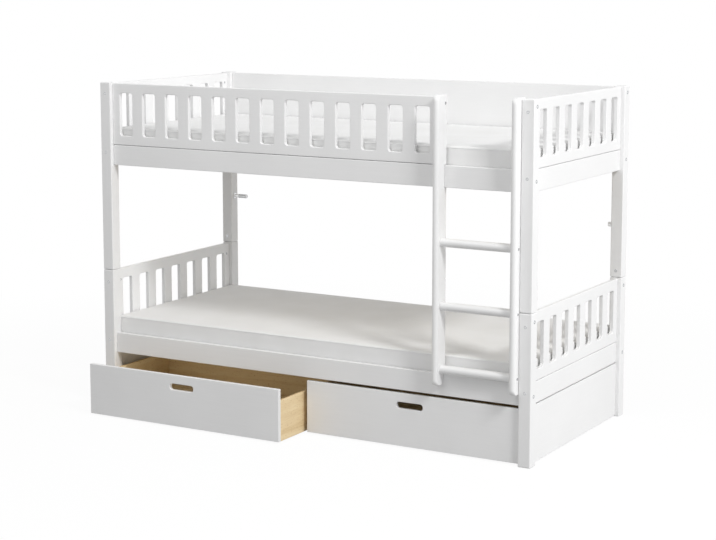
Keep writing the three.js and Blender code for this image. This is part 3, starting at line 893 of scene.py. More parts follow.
@dataclass
class Ladder:
    """The two stiles with their round front edge, and the three round rungs.

    Attributes:
        end_radius: The radius of the stiles' front corners, seen from the side.
        ease: The radius of the other edges.
        notch_ease: How far the edges round a stile's notches are eased.
        fit_gap: The hairline between the stiles and the rails that they are let over.
        rung_shoulder: The small radius at the rungs' ends.
        end_steps: Faces in a stile's round corner, and in half of its round front.
        ease_steps: Faces in each eased edge.
        rung_sides: Faces round a rung.
    """

    end_radius: float = 24 * MM
    ease: float = 2.4 * MM
    notch_ease: float = 1.5 * MM
    fit_gap: float = 0.3 * MM
    rung_shoulder: float = 1.2 * MM
    end_steps: int = 8
    ease_steps: int = 4
    rung_sides: int = 48

    def build(self) -> None:
        """Makes both stiles and all rungs."""
        for side in Side:
            self._stile(f"ladder_stile_{side.value}")
        for number in RUNGS:
            self._rung(f"ladder_rung_{number}")

    def _stile(self, node: str) -> None:
        """Makes one stile.

        A curve follows the stile's outline as seen from the side, from the bottom's back round the
        front to the top's back. At each of its points a cross line runs from the left face to the
        right one, sunk below the curve: by a half circle along the front, and by no more than an eased
        edge at the ends, with a smooth change round the corners.

        Args:
            node: The node that it stands for.
        """
        low, high = box_of(node)
        half = (high[0] - low[0]) / 2
        depth, height = high[1] - low[1], high[2] - low[2]
        rail_low, rail_high = box_of("lower_rail_front")
        upper_low, upper_high = box_of("upper_rail_front")
        notch = rail_low[1] - low[1] - self.fit_gap
        over_rail = rail_high[2] + self.fit_gap - low[2]
        under_upper = upper_low[2] - self.fit_gap - low[2]
        over_upper = upper_high[2] + self.fit_gap - low[2]
        r, quarter = self.end_radius, quarter_turn(self.end_steps)
        sine, cosine = np.sin(quarter), np.cos(quarter)
        along_y = np.array([notch, *(r - r * sine), *(r - r * cosine), depth])[:, None]
        along_z = np.array([0, *(r - r * cosine), *(height - r + r * sine), height])[:, None]
        inward_y = np.array([0, *sine, *cosine, 0])[:, None]
        inward_z = np.array([1, *cosine, *-sine, -1])[:, None]
        share = quarter / (math.pi / 2)
        smooth = share * share * (3 - 2 * share)
        round_share = np.array([0, *smooth, *(1 - smooth), 0])[:, None]
        turn = np.linspace(-math.pi / 2, math.pi / 2, 2 * self.end_steps + 1)
        corner = quarter_turn(self.ease_steps)
        edge_x, edge_sunk = self.ease * (1 - np.sin(corner)), self.ease * (1 - np.cos(corner))
        between = np.linspace(-half + self.ease, half - self.ease, len(turn) - 2 * self.ease_steps)[1:-1]
        flat_x = np.array([*(-half + edge_x[::-1]), *between, *(half - edge_x)])
        flat_sunk = np.array([*edge_sunk[::-1], *np.zeros(len(between)), *edge_sunk])
        across = round_share * (half * np.sin(turn)) + (1 - round_share) * flat_x
        sunk = round_share * (half * (1 - np.cos(turn))) + (1 - round_share) * flat_sunk
        front = Shell.sheet(surface(across, along_y + inward_y * sunk, along_z + inward_z * sunk), wrap=False)
        back_y = [depth, notch, notch, depth, depth, notch]
        back_z = [over_upper, over_upper, under_upper, under_upper, over_rail, over_rail]
        backs = [surface(x, back_y, back_z) for x in (-half, half)]
        number = np.arange(across.size).reshape(across.shape)
        left = across.size + np.arange(len(back_y))
        right = left + len(back_y)
        caps = [
            np.array([*number[:, 0], *left]),
            np.array([*number[:, -1], *right]),
            *np.stack([left[:-1], left[1:], right[1:], right[:-1]], -1),
            np.array([*number[-1], right[0], left[0]]),
            np.array([*number[0, ::-1], left[-1], right[-1]]),
        ]
        stile = Shell(np.vstack([front.points, *backs]), front.quads, caps)
        placed = stile.moved([(low[0] + high[0]) / 2, low[1], low[2]])
        placed.dress(node, LACQUER[Axis.Z], bevel=self.notch_ease)
        log.info("stile %s", node)

    def _rung(self, node: str) -> None:
        """Makes one rung: a round bar whose ends run in a small radius into the stiles.

        Args:
            node: The node that it stands for.
        """
        low, high = box_of(node)
        radius, length = (high[2] - low[2]) / 2, high[0] - low[0]
        turn = quarter_turn(self.ease_steps)
        rise = radius - self.rung_shoulder * (1 - np.sin(turn))
        along = self.rung_shoulder * (1 - np.cos(turn))
        profile = np.stack([[0, *rise, *rise[::-1], 0], [0, *along, *(length - along[::-1]), length]], -1)
        start = np.array([low[0], *(low + high)[1:] / 2])
        turned_rod(profile, start, self.rung_sides).dress(node, LACQUER[Axis.X])
        log.info("rung %s", node)


@dataclass
class SlattedBase:
    """The bearers, the slats and the tapes that keep them apart, for one bunk.

    Attributes:
        level: Which bunk.
        slat_count: The number of slats.
        slat_width: The width of a slat.
        slat_thickness: The thickness of a slat.
        ease: The radius of the slats' edges.
        bearer_ease: The radius of the bearers' edges.
        tape_inset: From the ends of the slats to a tape.
        tape_width: The width of a tape.
        tape_thickness: The thickness of a tape.
        tape_ease: The radius of a tape's edges.
        staple: The length of a staple's crown across X and along Y, and its height.
        staple_ease: The radius of its edges.
        staple_inset: The least from a tape's end to the middle of a staple.
    """

    level: Level
    slat_count: int = 13
    slat_width: float = 70 * MM
    slat_thickness: float = 16 * MM
    ease: float = 3 * MM
    bearer_ease: float = 1.5 * MM
    tape_inset: float = 190 * MM
    tape_width: float = 35 * MM
    tape_thickness: float = 1.6 * MM
    tape_ease: float = 0.5 * MM
    staple: tuple[float, float, float] = (1.2 * MM, 12 * MM, 1.0 * MM)
    staple_ease: float = 0.3 * MM
    staple_inset: float = 8 * MM

    def build(self) -> None:
        """Makes the bearers, the slats, and the tapes with a staple's crown pressed in at each slat."""
        level = self.level.value
        for depth in DEPTHS:
            node = f"{level}_bearer_{depth}"
            eased_block(*box_of(node), self.bearer_ease, 2).dress(node, PINE[Axis.X])
        low, high = box_of(f"{level}_slats")
        pitch = (high[0] - low[0] - self.slat_width) / (self.slat_count - 1)
        top, bottom = high[2], high[2] - self.slat_thickness
        lefts = [low[0] + k * pitch for k in range(self.slat_count)]
        slats = [
            eased_block([left, low[1], bottom], [left + self.slat_width, high[1], top], self.ease)
            for left in lefts
        ]
        Shell.joined(slats).dress(f"{level}_slats", PINE[Axis.Y])
        start, end = low[0] + self.slat_width / 2, high[0] - self.slat_width / 2
        under = bottom - self.tape_thickness
        half = np.array(self.staple) / 2
        tapes, staples = [], []
        for y in (low[1] + self.tape_inset, high[1] - self.tape_inset - self.tape_width):
            far = [end, y + self.tape_width, bottom]
            tapes.append(eased_block([start, y, under], far, self.tape_ease, 2))
            for left in lefts:
                x = min(max(left + self.slat_width / 2, start + self.staple_inset), end - self.staple_inset)
                place = np.array([x, y + self.tape_width / 2, under])
                staples.append(eased_block(place - half, place + half, self.staple_ease, 2))
        Shell.joined(tapes).piece(f"{level}_slat_tapes", TAPE)
        Shell.joined(staples).piece(f"{level}_slat_staples", ZINC)
        log.info("slatted base %s", level)


# A light cotton cloth, held at the seams and blown up a little by the foam
CLOTH = {
    "quality": 6,
    "mass": 0.3,
    "tension_stiffness": 18,
    "compression_stiffness": 18,
    "shear_stiffness": 9,
    "bending_stiffness": 1.2,
    "use_pressure": True,
    "uniform_pressure_force": 4,
    "pin_stiffness": 1,
    "shrink_min": -0.0035,
}


@dataclass
class Mattress:
    """A foam mattress in a sewn cover, its form from a cloth simulation under light pressure.

    The cover is a closed grid: a square grid on top, bent into the plan's round corners, rows that
    round over the edge, climb down the border between two piped seams and round under, and a grid
    below. The seams, the rounded edges and the underside are held still, and the pressure swells the
    top and the border.

    Attributes:
        level: Which bunk.
        corner: The radius of the plan's corners.
        edge: The radius of the upper and lower edges.
        edge_steps: Faces in each of them.
        seam: From the top or the underside to the piped seam beside it.
        tuck: How far the seams lie inside the border's fullest part.
        relief: From a seam to the border's fullest part.
        border_rows: Rows of points over the border's fullest part.
        inset: From the solid's sides to the border's fullest part.
        cap: The most that a point may move.
        spacing: The grid's spacing.
        crown: How far the top rises in the middle.
        ripple: The height of the top's slow waves.
        phase: How far an upper mattress's waves are shifted from a lower one's.
        piping: The radius of the piping.
        piping_out: How far its middle stands out from the seam, as a share of that radius.
        piping_sides: Faces round it.
        frames: The frames that the simulation runs.
    """

    level: Level
    corner: float = 14 * MM
    edge: float = 6 * MM
    edge_steps: int = 3
    seam: float = 6.8 * MM
    tuck: float = 0.35 * MM
    relief: float = 1.4 * MM
    border_rows: int = 7
    inset: float = 0.4 * MM
    cap: float = 1.5 * MM
    spacing: float = 19 * MM
    crown: float = 0.3 * MM
    ripple: float = 0.25 * MM
    phase: float = 2.6
    piping: float = 1.1 * MM
    piping_out: float = 0.6
    piping_sides: int = 10
    frames: int = 18

    def build(self) -> None:
        """Makes the cover, simulates it, and sews the piping on its seams."""
        node = f"{self.level.value}_mattress"
        shell, held, seams = self._cover(*box_of(node))
        shell.points = self._swollen(shell, held)
        cover = shell.dress(node, COTTON, weighted=False)
        smoother = cover.modifiers.new("smooth_cloth", "SUBSURF")
        smoother.levels = smoother.render_levels = 1
        for row, name in zip(seams, ("lower", "upper")):
            self._pipe(shell.points[row]).piece(f"{node}_{name}_piping", COTTON, weighted=False)
        log.info("mattress %s with %d points", self.level.value, len(shell.points))

    @staticmethod
    def _plan(unit: np.ndarray, reach: np.ndarray, radius: float) -> np.ndarray:
        """Bends a square grid into a plan with round corners.

        In a corner square a point at (a, b) from the corner's centre keeps its larger part as its
        distance and its direction as its direction, so that the square's border becomes the arc.

        Args:
            unit: Places along X and Y, from -1 to 1.
            reach: Half the plan's length and half its width.
            radius: The radius of its corners.

        Returns:
            The bent places.
        """
        place, core = unit * reach, reach - radius
        beyond = np.maximum(np.abs(place) - core, 0)
        length = np.hypot(beyond[..., 0], beyond[..., 1])
        factor = np.where(length > 0, beyond.max(-1) / np.maximum(length, 1e-9), 1.0)
        return np.sign(place) * (np.minimum(np.abs(place), core) + beyond * factor[..., None])

    def _cover(self, low: np.ndarray, high: np.ndarray) -> tuple[Shell, np.ndarray, list[np.ndarray]]:
        """The cover before it swells.

        Args:
            low: The lowest corner of the mattress's box.
            high: The highest corner of the mattress's box.

        Returns:
            The closed grid, whether each point is held, and the two seams' point numbers.
        """
        half = (high - low)[:2] / 2 - self.inset
        bottom, top = low[2], high[2]
        columns, rows = (round(size) for size in 2 * half / self.spacing)
        u, v = np.meshgrid(np.linspace(-1, 1, columns + 1), np.linspace(-1, 1, rows + 1), indexing="ij")
        unit = np.stack([u, v], -1)
        lift = self.crown * (1 - u**4) * (1 - v**4)
        phase = self.phase if self.level is Level.UPPER else 0.0
        # Two slow waves cross at uneven lengths, so that no pattern shows
        waves = self.ripple * np.sin(9.1 * u + 2.3 * v + phase) * np.cos(7.3 * v - 3.1 * u)
        flat = self._plan(unit, half - self.edge, self.corner - self.edge)
        risen = top + lift + waves * (1 - u**2) * (1 - v**2)
        upper, under = (surface(flat[..., 0], flat[..., 1], z).reshape(-1, 3) for z in (risen, bottom))
        number = np.arange(u.size).reshape(u.shape)
        rim = np.concatenate([number[:-1, 0], number[-1, :-1], number[:0:-1, -1], number[0, :0:-1]])
        turn = quarter_turn(self.edge_steps)[1:]
        steps = [(self.edge * (1 - math.sin(t)), self.edge * (1 - math.cos(t))) for t in turn]
        first, last = self.seam, top - bottom - self.seam
        full = np.linspace(first + self.relief, last - self.relief, self.border_rows)
        border = [(self.tuck, first), *((0.0, drop) for drop in full), (self.tuck, last)]
        profile = [(inset, top - drop) for inset, drop in [*steps, *border]]
        profile += [(inset, bottom + drop) for inset, drop in reversed(steps)]
        rings = []
        for inset, z in profile:
            plan = self._plan(unit.reshape(-1, 2)[rim], half - inset, self.corner - inset)
            rings.append(surface(plan[:, 0], plan[:, 1], z))
        points = np.vstack([upper, under, *rings])
        ring = 2 * u.size + np.arange(len(rim))
        chain = [rim] + [ring + k * len(rim) for k in range(len(profile))] + [rim + u.size]
        strips = [np.stack([a, np.roll(a, -1), np.roll(b, -1), b], -1) for a, b in zip(chain, chain[1:])]
        grid = grid_quads(columns + 1, rows + 1, wrap=False)
        quads = np.vstack([grid, grid[:, ::-1] + u.size, *strips])[:, ::-1]
        ends = len(steps) + 3  # the rim, the rounded edge, the seam and the first full row
        held = np.zeros(len(points), bool)
        held[u.size : 2 * u.size] = True
        held[np.concatenate(chain[:ends] + chain[-ends:])] = True
        centre = [*(low + high)[:2] / 2, 0]
        return Shell(points, quads).moved(centre), held, [chain[1 - ends], chain[ends - 2]]

    def _swollen(self, shell: Shell, held: np.ndarray) -> np.ndarray:
        """Runs the cloth simulation and caps how far each point moves.

        Args:
            shell: The cover at rest.
            held: Whether each point is held.

        Returns:
            The points after the pressure has swollen the cover.
        """
        scene = bpy.context.scene
        mesh = bpy.data.meshes.new("cover_in_simulation")
        mesh.from_pydata(shell.points.tolist(), [], shell.quads.tolist())
        cover = bpy.data.objects.new("cover_in_simulation", mesh)
        scene.collection.objects.link(cover)
        group = cover.vertex_groups.new(name="held")
        group.add(np.flatnonzero(held).tolist(), 1.0, "REPLACE")
        cloth = cover.modifiers.new("cloth", "CLOTH")
        for option, value in CLOTH.items():
            setattr(cloth.settings, option, value)
        cloth.settings.vertex_group_mass = group.name
        cloth.settings.effector_weights.gravity = 0
        cloth.point_cache.frame_start, cloth.point_cache.frame_end = 1, self.frames
        for number in range(1, self.frames + 1):
            scene.frame_set(number)
        moved = cover.evaluated_get(bpy.context.evaluated_depsgraph_get()).data
        after = np.empty(shell.points.size)
        moved.vertices.foreach_get("co", after)
        scene.frame_set(1)
        bpy.data.objects.remove(cover)
        bpy.data.meshes.remove(mesh)
        shift = after.reshape(-1, 3) - shell.points
        length = np.linalg.norm(shift, axis=1, keepdims=True)
        return shell.points + shift * (self.cap * np.tanh(length / self.cap) / np.maximum(length, 1e-9))

    def _pipe(self, loop: np.ndarray) -> Shell:
        """The piping: a round section carried along a seam, in the plane of each point's outward side.

        Args:
            loop: The seam's points in order.

        Returns:
            The closed tube.
        """
        up = np.array([0, 0, 1.0])
        ahead = np.roll(loop, -1, 0) - np.roll(loop, 1, 0)
        ahead /= np.linalg.norm(ahead, axis=1, keepdims=True)
        out = np.cross(ahead, up)
        if np.mean(np.einsum("ij,ij->i", out, loop - loop.mean(0))) < 0:
            out = -out
        turn = full_turn(self.piping_sides)[:, None, None]
        section = np.cos(turn) * out + np.sin(turn) * up
        return Shell.sheet(loop + self.piping_out * self.piping * out + self.piping * section, closed=True)


@dataclass(frozen=True)
class Head:
    """The head of a bolt or screw with a hexagon socket, standing a little proud of a face.

    Attributes:
        radius: The head's radius.
        socket: Half the socket's width across its flats.
        proud: How far the head stands out.
        sunk: How far its skirt goes below the face.
        deepest: The most that the socket goes in.
        lip: How far the socket's edge is broken.
        sides: Faces round it.
    """

    radius: float
    socket: float
    proud: float
    sunk: float = 0.6 * MM
    deepest: float = 2.2 * MM
    lip: float = 0.15 * MM
    sides: int = 24

    def at(self, place: Any, along: Axis, sign: int) -> Shell:
        """Puts a head on a face.

        Rings of points run from the face over the eased rim to the socket's edge and down into it. A
        ring's radius is a circle's on the rim, and in the socket the hexagon's: the socket's half width
        over the cosine of the angle to the nearest flat's middle.

        Args:
            place: The head's middle on the face.
            along: The direction of the bolt.
            sign: Which way the head faces along it.

        Returns:
            The closed head.
        """
        sector = (full_turn(self.sides) + math.pi / 6) % (math.pi / 3) - math.pi / 6
        hexagon = self.socket / np.cos(sector)
        circle = np.ones(self.sides)
        # The skirt, the eased rim in three steps, the flat ring, the socket's broken edge and its floor
        rings = [
            (self.radius * circle, -self.sunk),
            (self.radius * circle, self.proud * 0.4),
            (self.radius * 0.94 * circle, self.proud * 0.85),
            (self.radius * 0.84 * circle, self.proud),
            (hexagon * 1.08, self.proud),
            (hexagon, self.proud - self.lip),
            (hexagon, -min(self.radius * 0.5, self.deepest)),
        ]
        heights = np.array([height for _, height in rings])
        return ringed(np.stack([radii for radii, _ in rings]), heights * sign, along, np.array(place))


FRONT_BOLT = Head(6.5 * MM, 3.2 * MM, 0.9 * MM)
END_BOLT = Head(7.5 * MM, 4.2 * MM, 0.9 * MM)
JOINT_SCREW = Head(7 * MM, 1.6 * MM, 0.9 * MM)
BARREL_NUT = Head(5 * MM, 1.6 * MM, 0.15 * MM)
RUNG_SCREW = Head(5 * MM, 2 * MM, 0.6 * MM)
STILE_SCREW = Head(5.6 * MM, 2.2 * MM, 0.6 * MM)
WALL_SCREW = Head(3.6 * MM, 1.5 * MM, 0.25 * MM)


@dataclass
class Drawer:
    """One drawer: a lacquered front with a finger slot, a birch box, and four wheels in housings.

    Attributes:
        side: Which drawer.
        slot_width: The width of the finger slot.
        slot_height: The height of the finger slot.
        slot_corner: The radius of its corners.
        slot_middle: The height of its middle above the floor.
        front_ease: The radius of the front's edges.
        box_ease: The radius of the walls' edges.
        floor_bottom: The height of the floor panel's underside.
        floor_thickness: The floor panel's thickness.
        floor_ease: The radius of its edges.
        plate: A housing's plate: half its size along X and along Y, its thickness and its edges' radius.
        cheek_faces: From the wheel's middle to a cheek's inner and outer face.
        cheek_half: Half a cheek's size along Y.
        cheek_drop: How far a cheek goes below the axle.
        cheek_top: From the floor panel to a cheek's top, inside the plate.
        cheek_ease: The radius of its edges.
        tread: The radius of a wheel's tread where it turns to the sides.
        dish: How deep a wheel's web lies below its rim.
        wheel_sides: Faces round a wheel.
        screw_heights: The side walls' screws, as distances from the bottom or, below zero, from the top.
        screw_inset: From a wall's back end to its screws.
    """

    side: Side
    slot_width: float = 122 * MM
    slot_height: float = 28 * MM
    slot_corner: float = 12 * MM
    slot_middle: float = 179 * MM
    front_ease: float = 2.0 * MM
    box_ease: float = 1.4 * MM
    floor_bottom: float = 38 * MM
    floor_thickness: float = 6 * MM
    floor_ease: float = 0.8 * MM
    plate: tuple[float, float, float, float] = (22 * MM, 19 * MM, 1.6 * MM, 0.7 * MM)
    cheek_faces: tuple[float, float] = (8 * MM, 10.2 * MM)
    cheek_half: float = 13 * MM
    cheek_drop: float = 5 * MM
    cheek_top: float = 1.4 * MM
    cheek_ease: float = 0.9 * MM
    tread: float = 2 * MM
    dish: float = 2.4 * MM
    wheel_sides: int = 40
    screw_heights: tuple[float, float, float] = (30 * MM, 87 * MM, -30 * MM)
    screw_inset: float = 6 * MM

    @property
    def body(self) -> str:
        """The body that carries this drawer."""
        return f"drawer_{self.side.value}"

    def build(self) -> None:
        """Makes the front, the box, the housings and the wheels."""
        side = self.side.value
        self._front(f"drawer_front_{side}")
        for wall in Side:
            self._block(f"drawer_{wall.value}_wall_{side}", BIRCH_SIDE)
        self._block(f"drawer_back_{side}", BIRCH_BACK)
        wheels = [f"wheel_{side}_{depth}_{hand.value}" for depth in DEPTHS for hand in Side]
        self._floor(f"drawer_floor_{side}", wheels)
        for node in wheels:
            self._wheel(node)
        self._screws()
        log.info("drawer %s", side)

    def _front(self, node: str) -> None:
        """Makes the front, whose slot is cut right through and eased all round.

        Args:
            node: The node that it stands for.
        """
        low, high = box_of(node)
        length, thickness, height = high - low
        start = (length - self.slot_width) / 2
        bottom, top = (self.slot_middle - low[2] + sign * self.slot_height / 2 for sign in (-1, 1))
        slots = [(start, start + self.slot_width)]
        board = SlottedBoard(length, height, thickness, slots, bottom, top, self.slot_corner, self.front_ease)
        board.shell().moved(low).dress(node, LACQUER[Axis.X], self.body)

    def _block(self, node: str, finish: Finish) -> None:
        """Makes one plywood wall of the box."""
        eased_block(*box_of(node), self.box_ease, 2).dress(node, finish, self.body)

    def _floor(self, node: str, wheels: list[str]) -> None:
        """Makes the floor panel and, under it, the four pressed steel housings with their axles.

        Args:
            node: The node that the panel stands for.
            wheels: The wheels' nodes.
        """
        low, high = box_of(node)
        low[2], high[2] = self.floor_bottom, self.floor_bottom + self.floor_thickness
        eased_block(low, high, self.floor_ease, 2).dress(node, BIRCH_FLOOR, self.body)
        housings = [self._housing(sum(box_of(wheel)) / 2) for wheel in wheels]
        Shell.joined(housings).piece(f"wheel_housings_{self.side.value}", ZINC, self.body)

    def _housing(self, hub: np.ndarray) -> Shell:
        """One housing: a plate under the floor, two cheeks beside the wheel, and the riveted axle.

        Args:
            hub: The wheel's middle.

        Returns:
            The plate, the cheeks, the axle and its heads.
        """
        half_x, half_y, thickness, ease = self.plate
        x, y, z = hub
        bottom = self.floor_bottom
        plate_low = [x - half_x, y - half_y, bottom - thickness]
        pieces = [eased_block(plate_low, [x + half_x, y + half_y, bottom], ease, 2)]
        for sign in (-1, 1):
            near, far = sorted(x + sign * face for face in self.cheek_faces)
            cheek_low = [near, y - self.cheek_half, z - self.cheek_drop]
            cheek_high = [far, y + self.cheek_half, bottom - self.cheek_top]
            pieces.append(eased_block(cheek_low, cheek_high, self.cheek_ease, 2))
        # In millimetres from the left head's face: a 6 mm axle, 24 mm long, with a rivet's head at each end
        axle = [[0, 0], [5.4, 0], [5.4, 0.8], [3, 1.4], [3, 22.6], [5.4, 23.2], [5.4, 24], [0, 24]]
        pieces.append(turned_rod(np.array(axle) * MM, hub - np.array([12 * MM, 0, 0]), 16))
        return Shell.joined(pieces)

    def _wheel(self, node: str) -> None:
        """Makes one wheel: a rounded tread, a dished web on each side and a hub with its bore.

        Args:
            node: The wheel's node, which is also the name of its body.
        """
        low, high = box_of(node)
        hub, radius, half = (low + high) / 2, (high[2] - low[2]) / 2, (high[0] - low[0]) / 2
        web = half - self.dish
        # The bore, the hub's rim, the web, and the wheel's rim
        right = [(3.5 * MM, half), (6 * MM, half), (6.6 * MM, web), (11.4 * MM, web), (12.2 * MM, half)]
        right += [
            (radius - self.tread * (1 - math.sin(t)), half - self.tread * (1 - math.cos(t)))
            for t in quarter_turn(3)
        ]
        loop = np.array(right + [(r, -x) for r, x in reversed(right)])
        angle = full_turn(self.wheel_sides)
        points = surface(loop[:, 1:], loop[:, :1] * np.cos(angle), loop[:, :1] * np.sin(angle))
        Shell.sheet(points + hub, closed=True).dress(node, PLASTIC, node)

    def _screws(self) -> None:
        """Makes the countersunk screws that hold the side walls to the back."""
        heads = []
        for wall in Side:
            low, high = box_of(f"drawer_{wall.value}_wall_{self.side.value}")
            face = face_of(low, high, Axis.X, wall.outward)
            for height in self.screw_heights:
                z = height + (low[2] if height > 0 else high[2])
                heads.append(WALL_SCREW.at([face, high[1] - self.screw_inset, z], Axis.X, wall.outward))
        Shell.joined(heads).piece(f"drawer_screws_{self.side.value}", ZINC, self.body)


@dataclass
class Fasteners:
    """The bolts, barrel nuts and screws of the frame, and the peg on the back left post.

    Attributes:
        heights_y: Heights of the bolts that run along Y into the end boards.
        heights_x: Heights of the bolts that run along X into the long boards.
        boards_y: The end boards that those along Y hold.
        rails_x: The rails that the second and the last bolt along X hold.
        joint_screw: The height of the small screw above each post's joint.
        nut_inset: From a post to the barrel nut in the board beside it.
        rung_screw_inset: From a rung's middle forward to its screw.
        stile_screw_drops: From the left stile's top to its two screws.
        stile_screw_inset: From its back to them.
        neck_share: The neck's share of the peg's length.
        thread_radii: The radius of the peg's threaded sleeve and that of the stud.
        stud_length: The stud's length.
        thread_pitch: From one thread to the next.
        thread_depth: The threads' depth.
        thread_fade: How far a thread's ends fade out.
        thread_rings: Rings of points along a thread.
        thread_sides: Faces round it.
    """

    heights_y: tuple[float, ...] = (1.402, 1.144, 0.563, 0.300)
    heights_x: tuple[float, ...] = (1.422, 1.133, 0.582, 0.285)
    boards_y: tuple[str, ...] = ("upper_end_panel", "upper_end_rail", "lower_end_panel", "lower_end_rail")
    rails_x: tuple[str, ...] = ("upper_rail", "lower_rail")
    joint_screw: float = 0.648
    nut_inset: float = 22 * MM
    rung_screw_inset: float = 9 * MM
    stile_screw_drops: tuple[float, float] = (34 * MM, 318 * MM)
    stile_screw_inset: float = 11 * MM
    neck_share: float = 0.36
    thread_radii: tuple[float, float] = (10 * MM, 11.5 * MM)
    stud_length: float = 22 * MM
    thread_pitch: float = 2.8 * MM
    thread_depth: float = 0.6 * MM
    thread_fade: float = 1.5 * MM
    thread_rings: int = 84
    thread_sides: int = 28

    def build(self) -> None:
        """Makes every fastener, two pieces for each post, and the nuts, screws and peg."""
        nuts = []
        for depth, out_y in zip(DEPTHS, (-1, 1)):
            for side in Side:
                low, high = box_of(f"lower_post_{depth}_{side.value}")
                x, y, _ = (low + high) / 2
                face_x = face_of(low, high, Axis.X, side.outward)
                face_y, inner_y = (face_of(low, high, Axis.Y, sign) for sign in (out_y, -out_y))
                heads = [FRONT_BOLT.at([x, face_y, z], Axis.Y, out_y) for z in self.heights_y]
                heads.append(JOINT_SCREW.at([x, inner_y, self.joint_screw], Axis.Y, -out_y))
                end_heads = [END_BOLT.at([face_x, y, z], Axis.X, side.outward) for z in self.heights_x]
                Shell.joined(heads).piece(f"bolts_{depth}_{side.value}", BRIGHT_ZINC)
                Shell.joined(end_heads).piece(f"end_bolts_{depth}_{side.value}", ZINC)
                nuts += self._nuts(side, depth, inner_y, -out_y)
        Shell.joined(nuts).piece("barrel_nuts", ZINC)
        self._ladder_screws()
        self._peg()
        log.info("fasteners")

    def _nuts(self, side: Side, depth: str, post_face_y: float, inward_y: int) -> list[Shell]:
        """The barrel nuts in the boards that meet one post, on the faces towards the mattresses.

        Args:
            side: The post's side.
            depth: Front or back.
            post_face_y: The post's inner face.
            inward_y: The direction along Y into the bed.

        Returns:
            One head for each nut.
        """
        made = []
        y = post_face_y + inward_y * self.nut_inset
        for board, z in zip(self.boards_y, self.heights_y):
            face = face_of(*box_of(f"{board}_{side.value}"), Axis.X, -side.outward)
            made.append(BARREL_NUT.at([face, y, z], Axis.X, -side.outward))
        for board, z in zip(self.rails_x, self.heights_x[1::2]):
            low, high = box_of(f"{board}_{depth}")
            x = face_of(low, high, Axis.X, side.outward) - side.outward * self.nut_inset
            face = face_of(low, high, Axis.Y, inward_y)
            made.append(BARREL_NUT.at([x, face, z], Axis.Y, inward_y))
        return made

    def _ladder_screws(self) -> None:
        """The screws at the rungs' ends on the stiles' outer faces, and those that hold the stiles."""
        heads = []
        for side in Side:
            face = face_of(*box_of(f"ladder_stile_{side.value}"), Axis.X, side.outward)
            for number in RUNGS:
                _, y, z = sum(box_of(f"ladder_rung_{number}")) / 2
                heads.append(RUNG_SCREW.at([face, y - self.rung_screw_inset, z], Axis.X, side.outward))
        x, y, top = box_of("ladder_stile_left")[1]
        for drop in self.stile_screw_drops:
            heads.append(STILE_SCREW.at([x, y - self.stile_screw_inset, top - drop], Axis.X, 1))
        Shell.joined(heads).piece("ladder_screws", DULL_STEEL)

    def _peg(self) -> None:
        """The peg with its collar and threaded sleeve on the back left post, and the stud on the right."""
        low, high = box_of("back_post_peg")
        foot = np.array([low[0], *(low + high)[1:] / 2])
        length = high[0] - low[0]
        neck_end = length * self.neck_share
        # In millimetres: the collar with eased rims, and a neck that runs 2 mm into the sleeve
        rim, neck, overlap = (high[2] - low[2]) / 2 / MM, 8.6, 2
        profile = [(0.9 * rim, 0), (rim, 0.9), (rim, 3.1), (0.9 * rim, 4), (neck, 4.3)]
        profile.append((neck, neck_end / MM + overlap))
        turned_rod(np.array(profile) * MM, foot).piece("back_post_peg_neck", POLISHED_ZINC)
        radius, stud_radius = self.thread_radii
        sleeve = self._thread(foot + np.array([neck_end, 0, 0]), length - neck_end, radius, 1)
        sleeve.dress("back_post_peg", THREADED_ZINC, weighted=False)
        low, high = box_of("upper_post_back_right")
        place = np.array([low[0], (low[1] + high[1]) / 2, foot[2]])
        stud = self._thread(place, self.stud_length, stud_radius, -1)
        stud.piece("back_post_stud", POLISHED_ZINC, weighted=False)

    def _thread(self, start: np.ndarray, length: float, radius: float, sign: int) -> Shell:
        """A threaded pin along X.

        A point's radius is the pin's, less a thread's depth that follows a triangle wave of the distance
        along the pin and of the angle round it. The thread fades out at both ends.

        Args:
            start: The middle of its foot.
            length: Its length.
            radius: Its radius over the thread.
            sign: Its direction along X.

        Returns:
            The closed pin.
        """
        along = np.linspace(0, length, self.thread_rings)[:, None]
        turn = full_turn(self.thread_sides)
        edge = np.clip(np.minimum(along, length - along) / self.thread_fade, 0, 1)
        base = radius * (0.78 + 0.22 * edge)  # the ends are chamfered to 0.78 of the radius
        phase = (along / self.thread_pitch - turn / (2 * math.pi)) % 1.0
        radii = base - self.thread_depth * np.abs(2 * phase - 1) * edge
        return ringed(radii, along[:, 0] * sign, Axis.X, start)


# The studio


@dataclass(frozen=True)
class SoftBox:
    """A square area lamp.

    Attributes:
        name: Its name.
        place: Where it hangs.
        target: What it points at.
        size: The length of its side.
        power: Its power in watts.
    """

    name: str
    place: tuple[float, float, float]
    target: tuple[float, float, float]
    size: float
    power: float

    def hang(self) -> None:
        """Adds the lamp to the scene."""
        data = bpy.data.lights.new(self.name, "AREA")
        data.shape, data.size, data.energy = "SQUARE", self.size, self.power
        lamp = bpy.data.objects.new(self.name, data)
        bpy.context.scene.collection.objects.link(lamp)
        lamp.visible_camera = False
        line = Vector(self.target) - Vector(self.place)
        turn = line.to_track_quat("-Z", "Y").to_matrix().to_4x4()
        lamp.matrix_world = Matrix.Translation(self.place) @ turn


# The key hangs far off at the right, the front box over the bed's front, and the side box low at the right
SOFT_BOXES = (
    SoftBox("key_light", (6.48, -2.885, 6.24), (0.0, 0.0, 0.7), 1.6, 340.0),
    SoftBox("front_light", (0.0, -2.2, 2.9), (0.0, -0.2, 0.6), 1.4, 14.0),
    SoftBox("side_light", (5.91, 0.0, 1.74), (0.0, 0.0, 0.7), 3.0, 69.0),
)


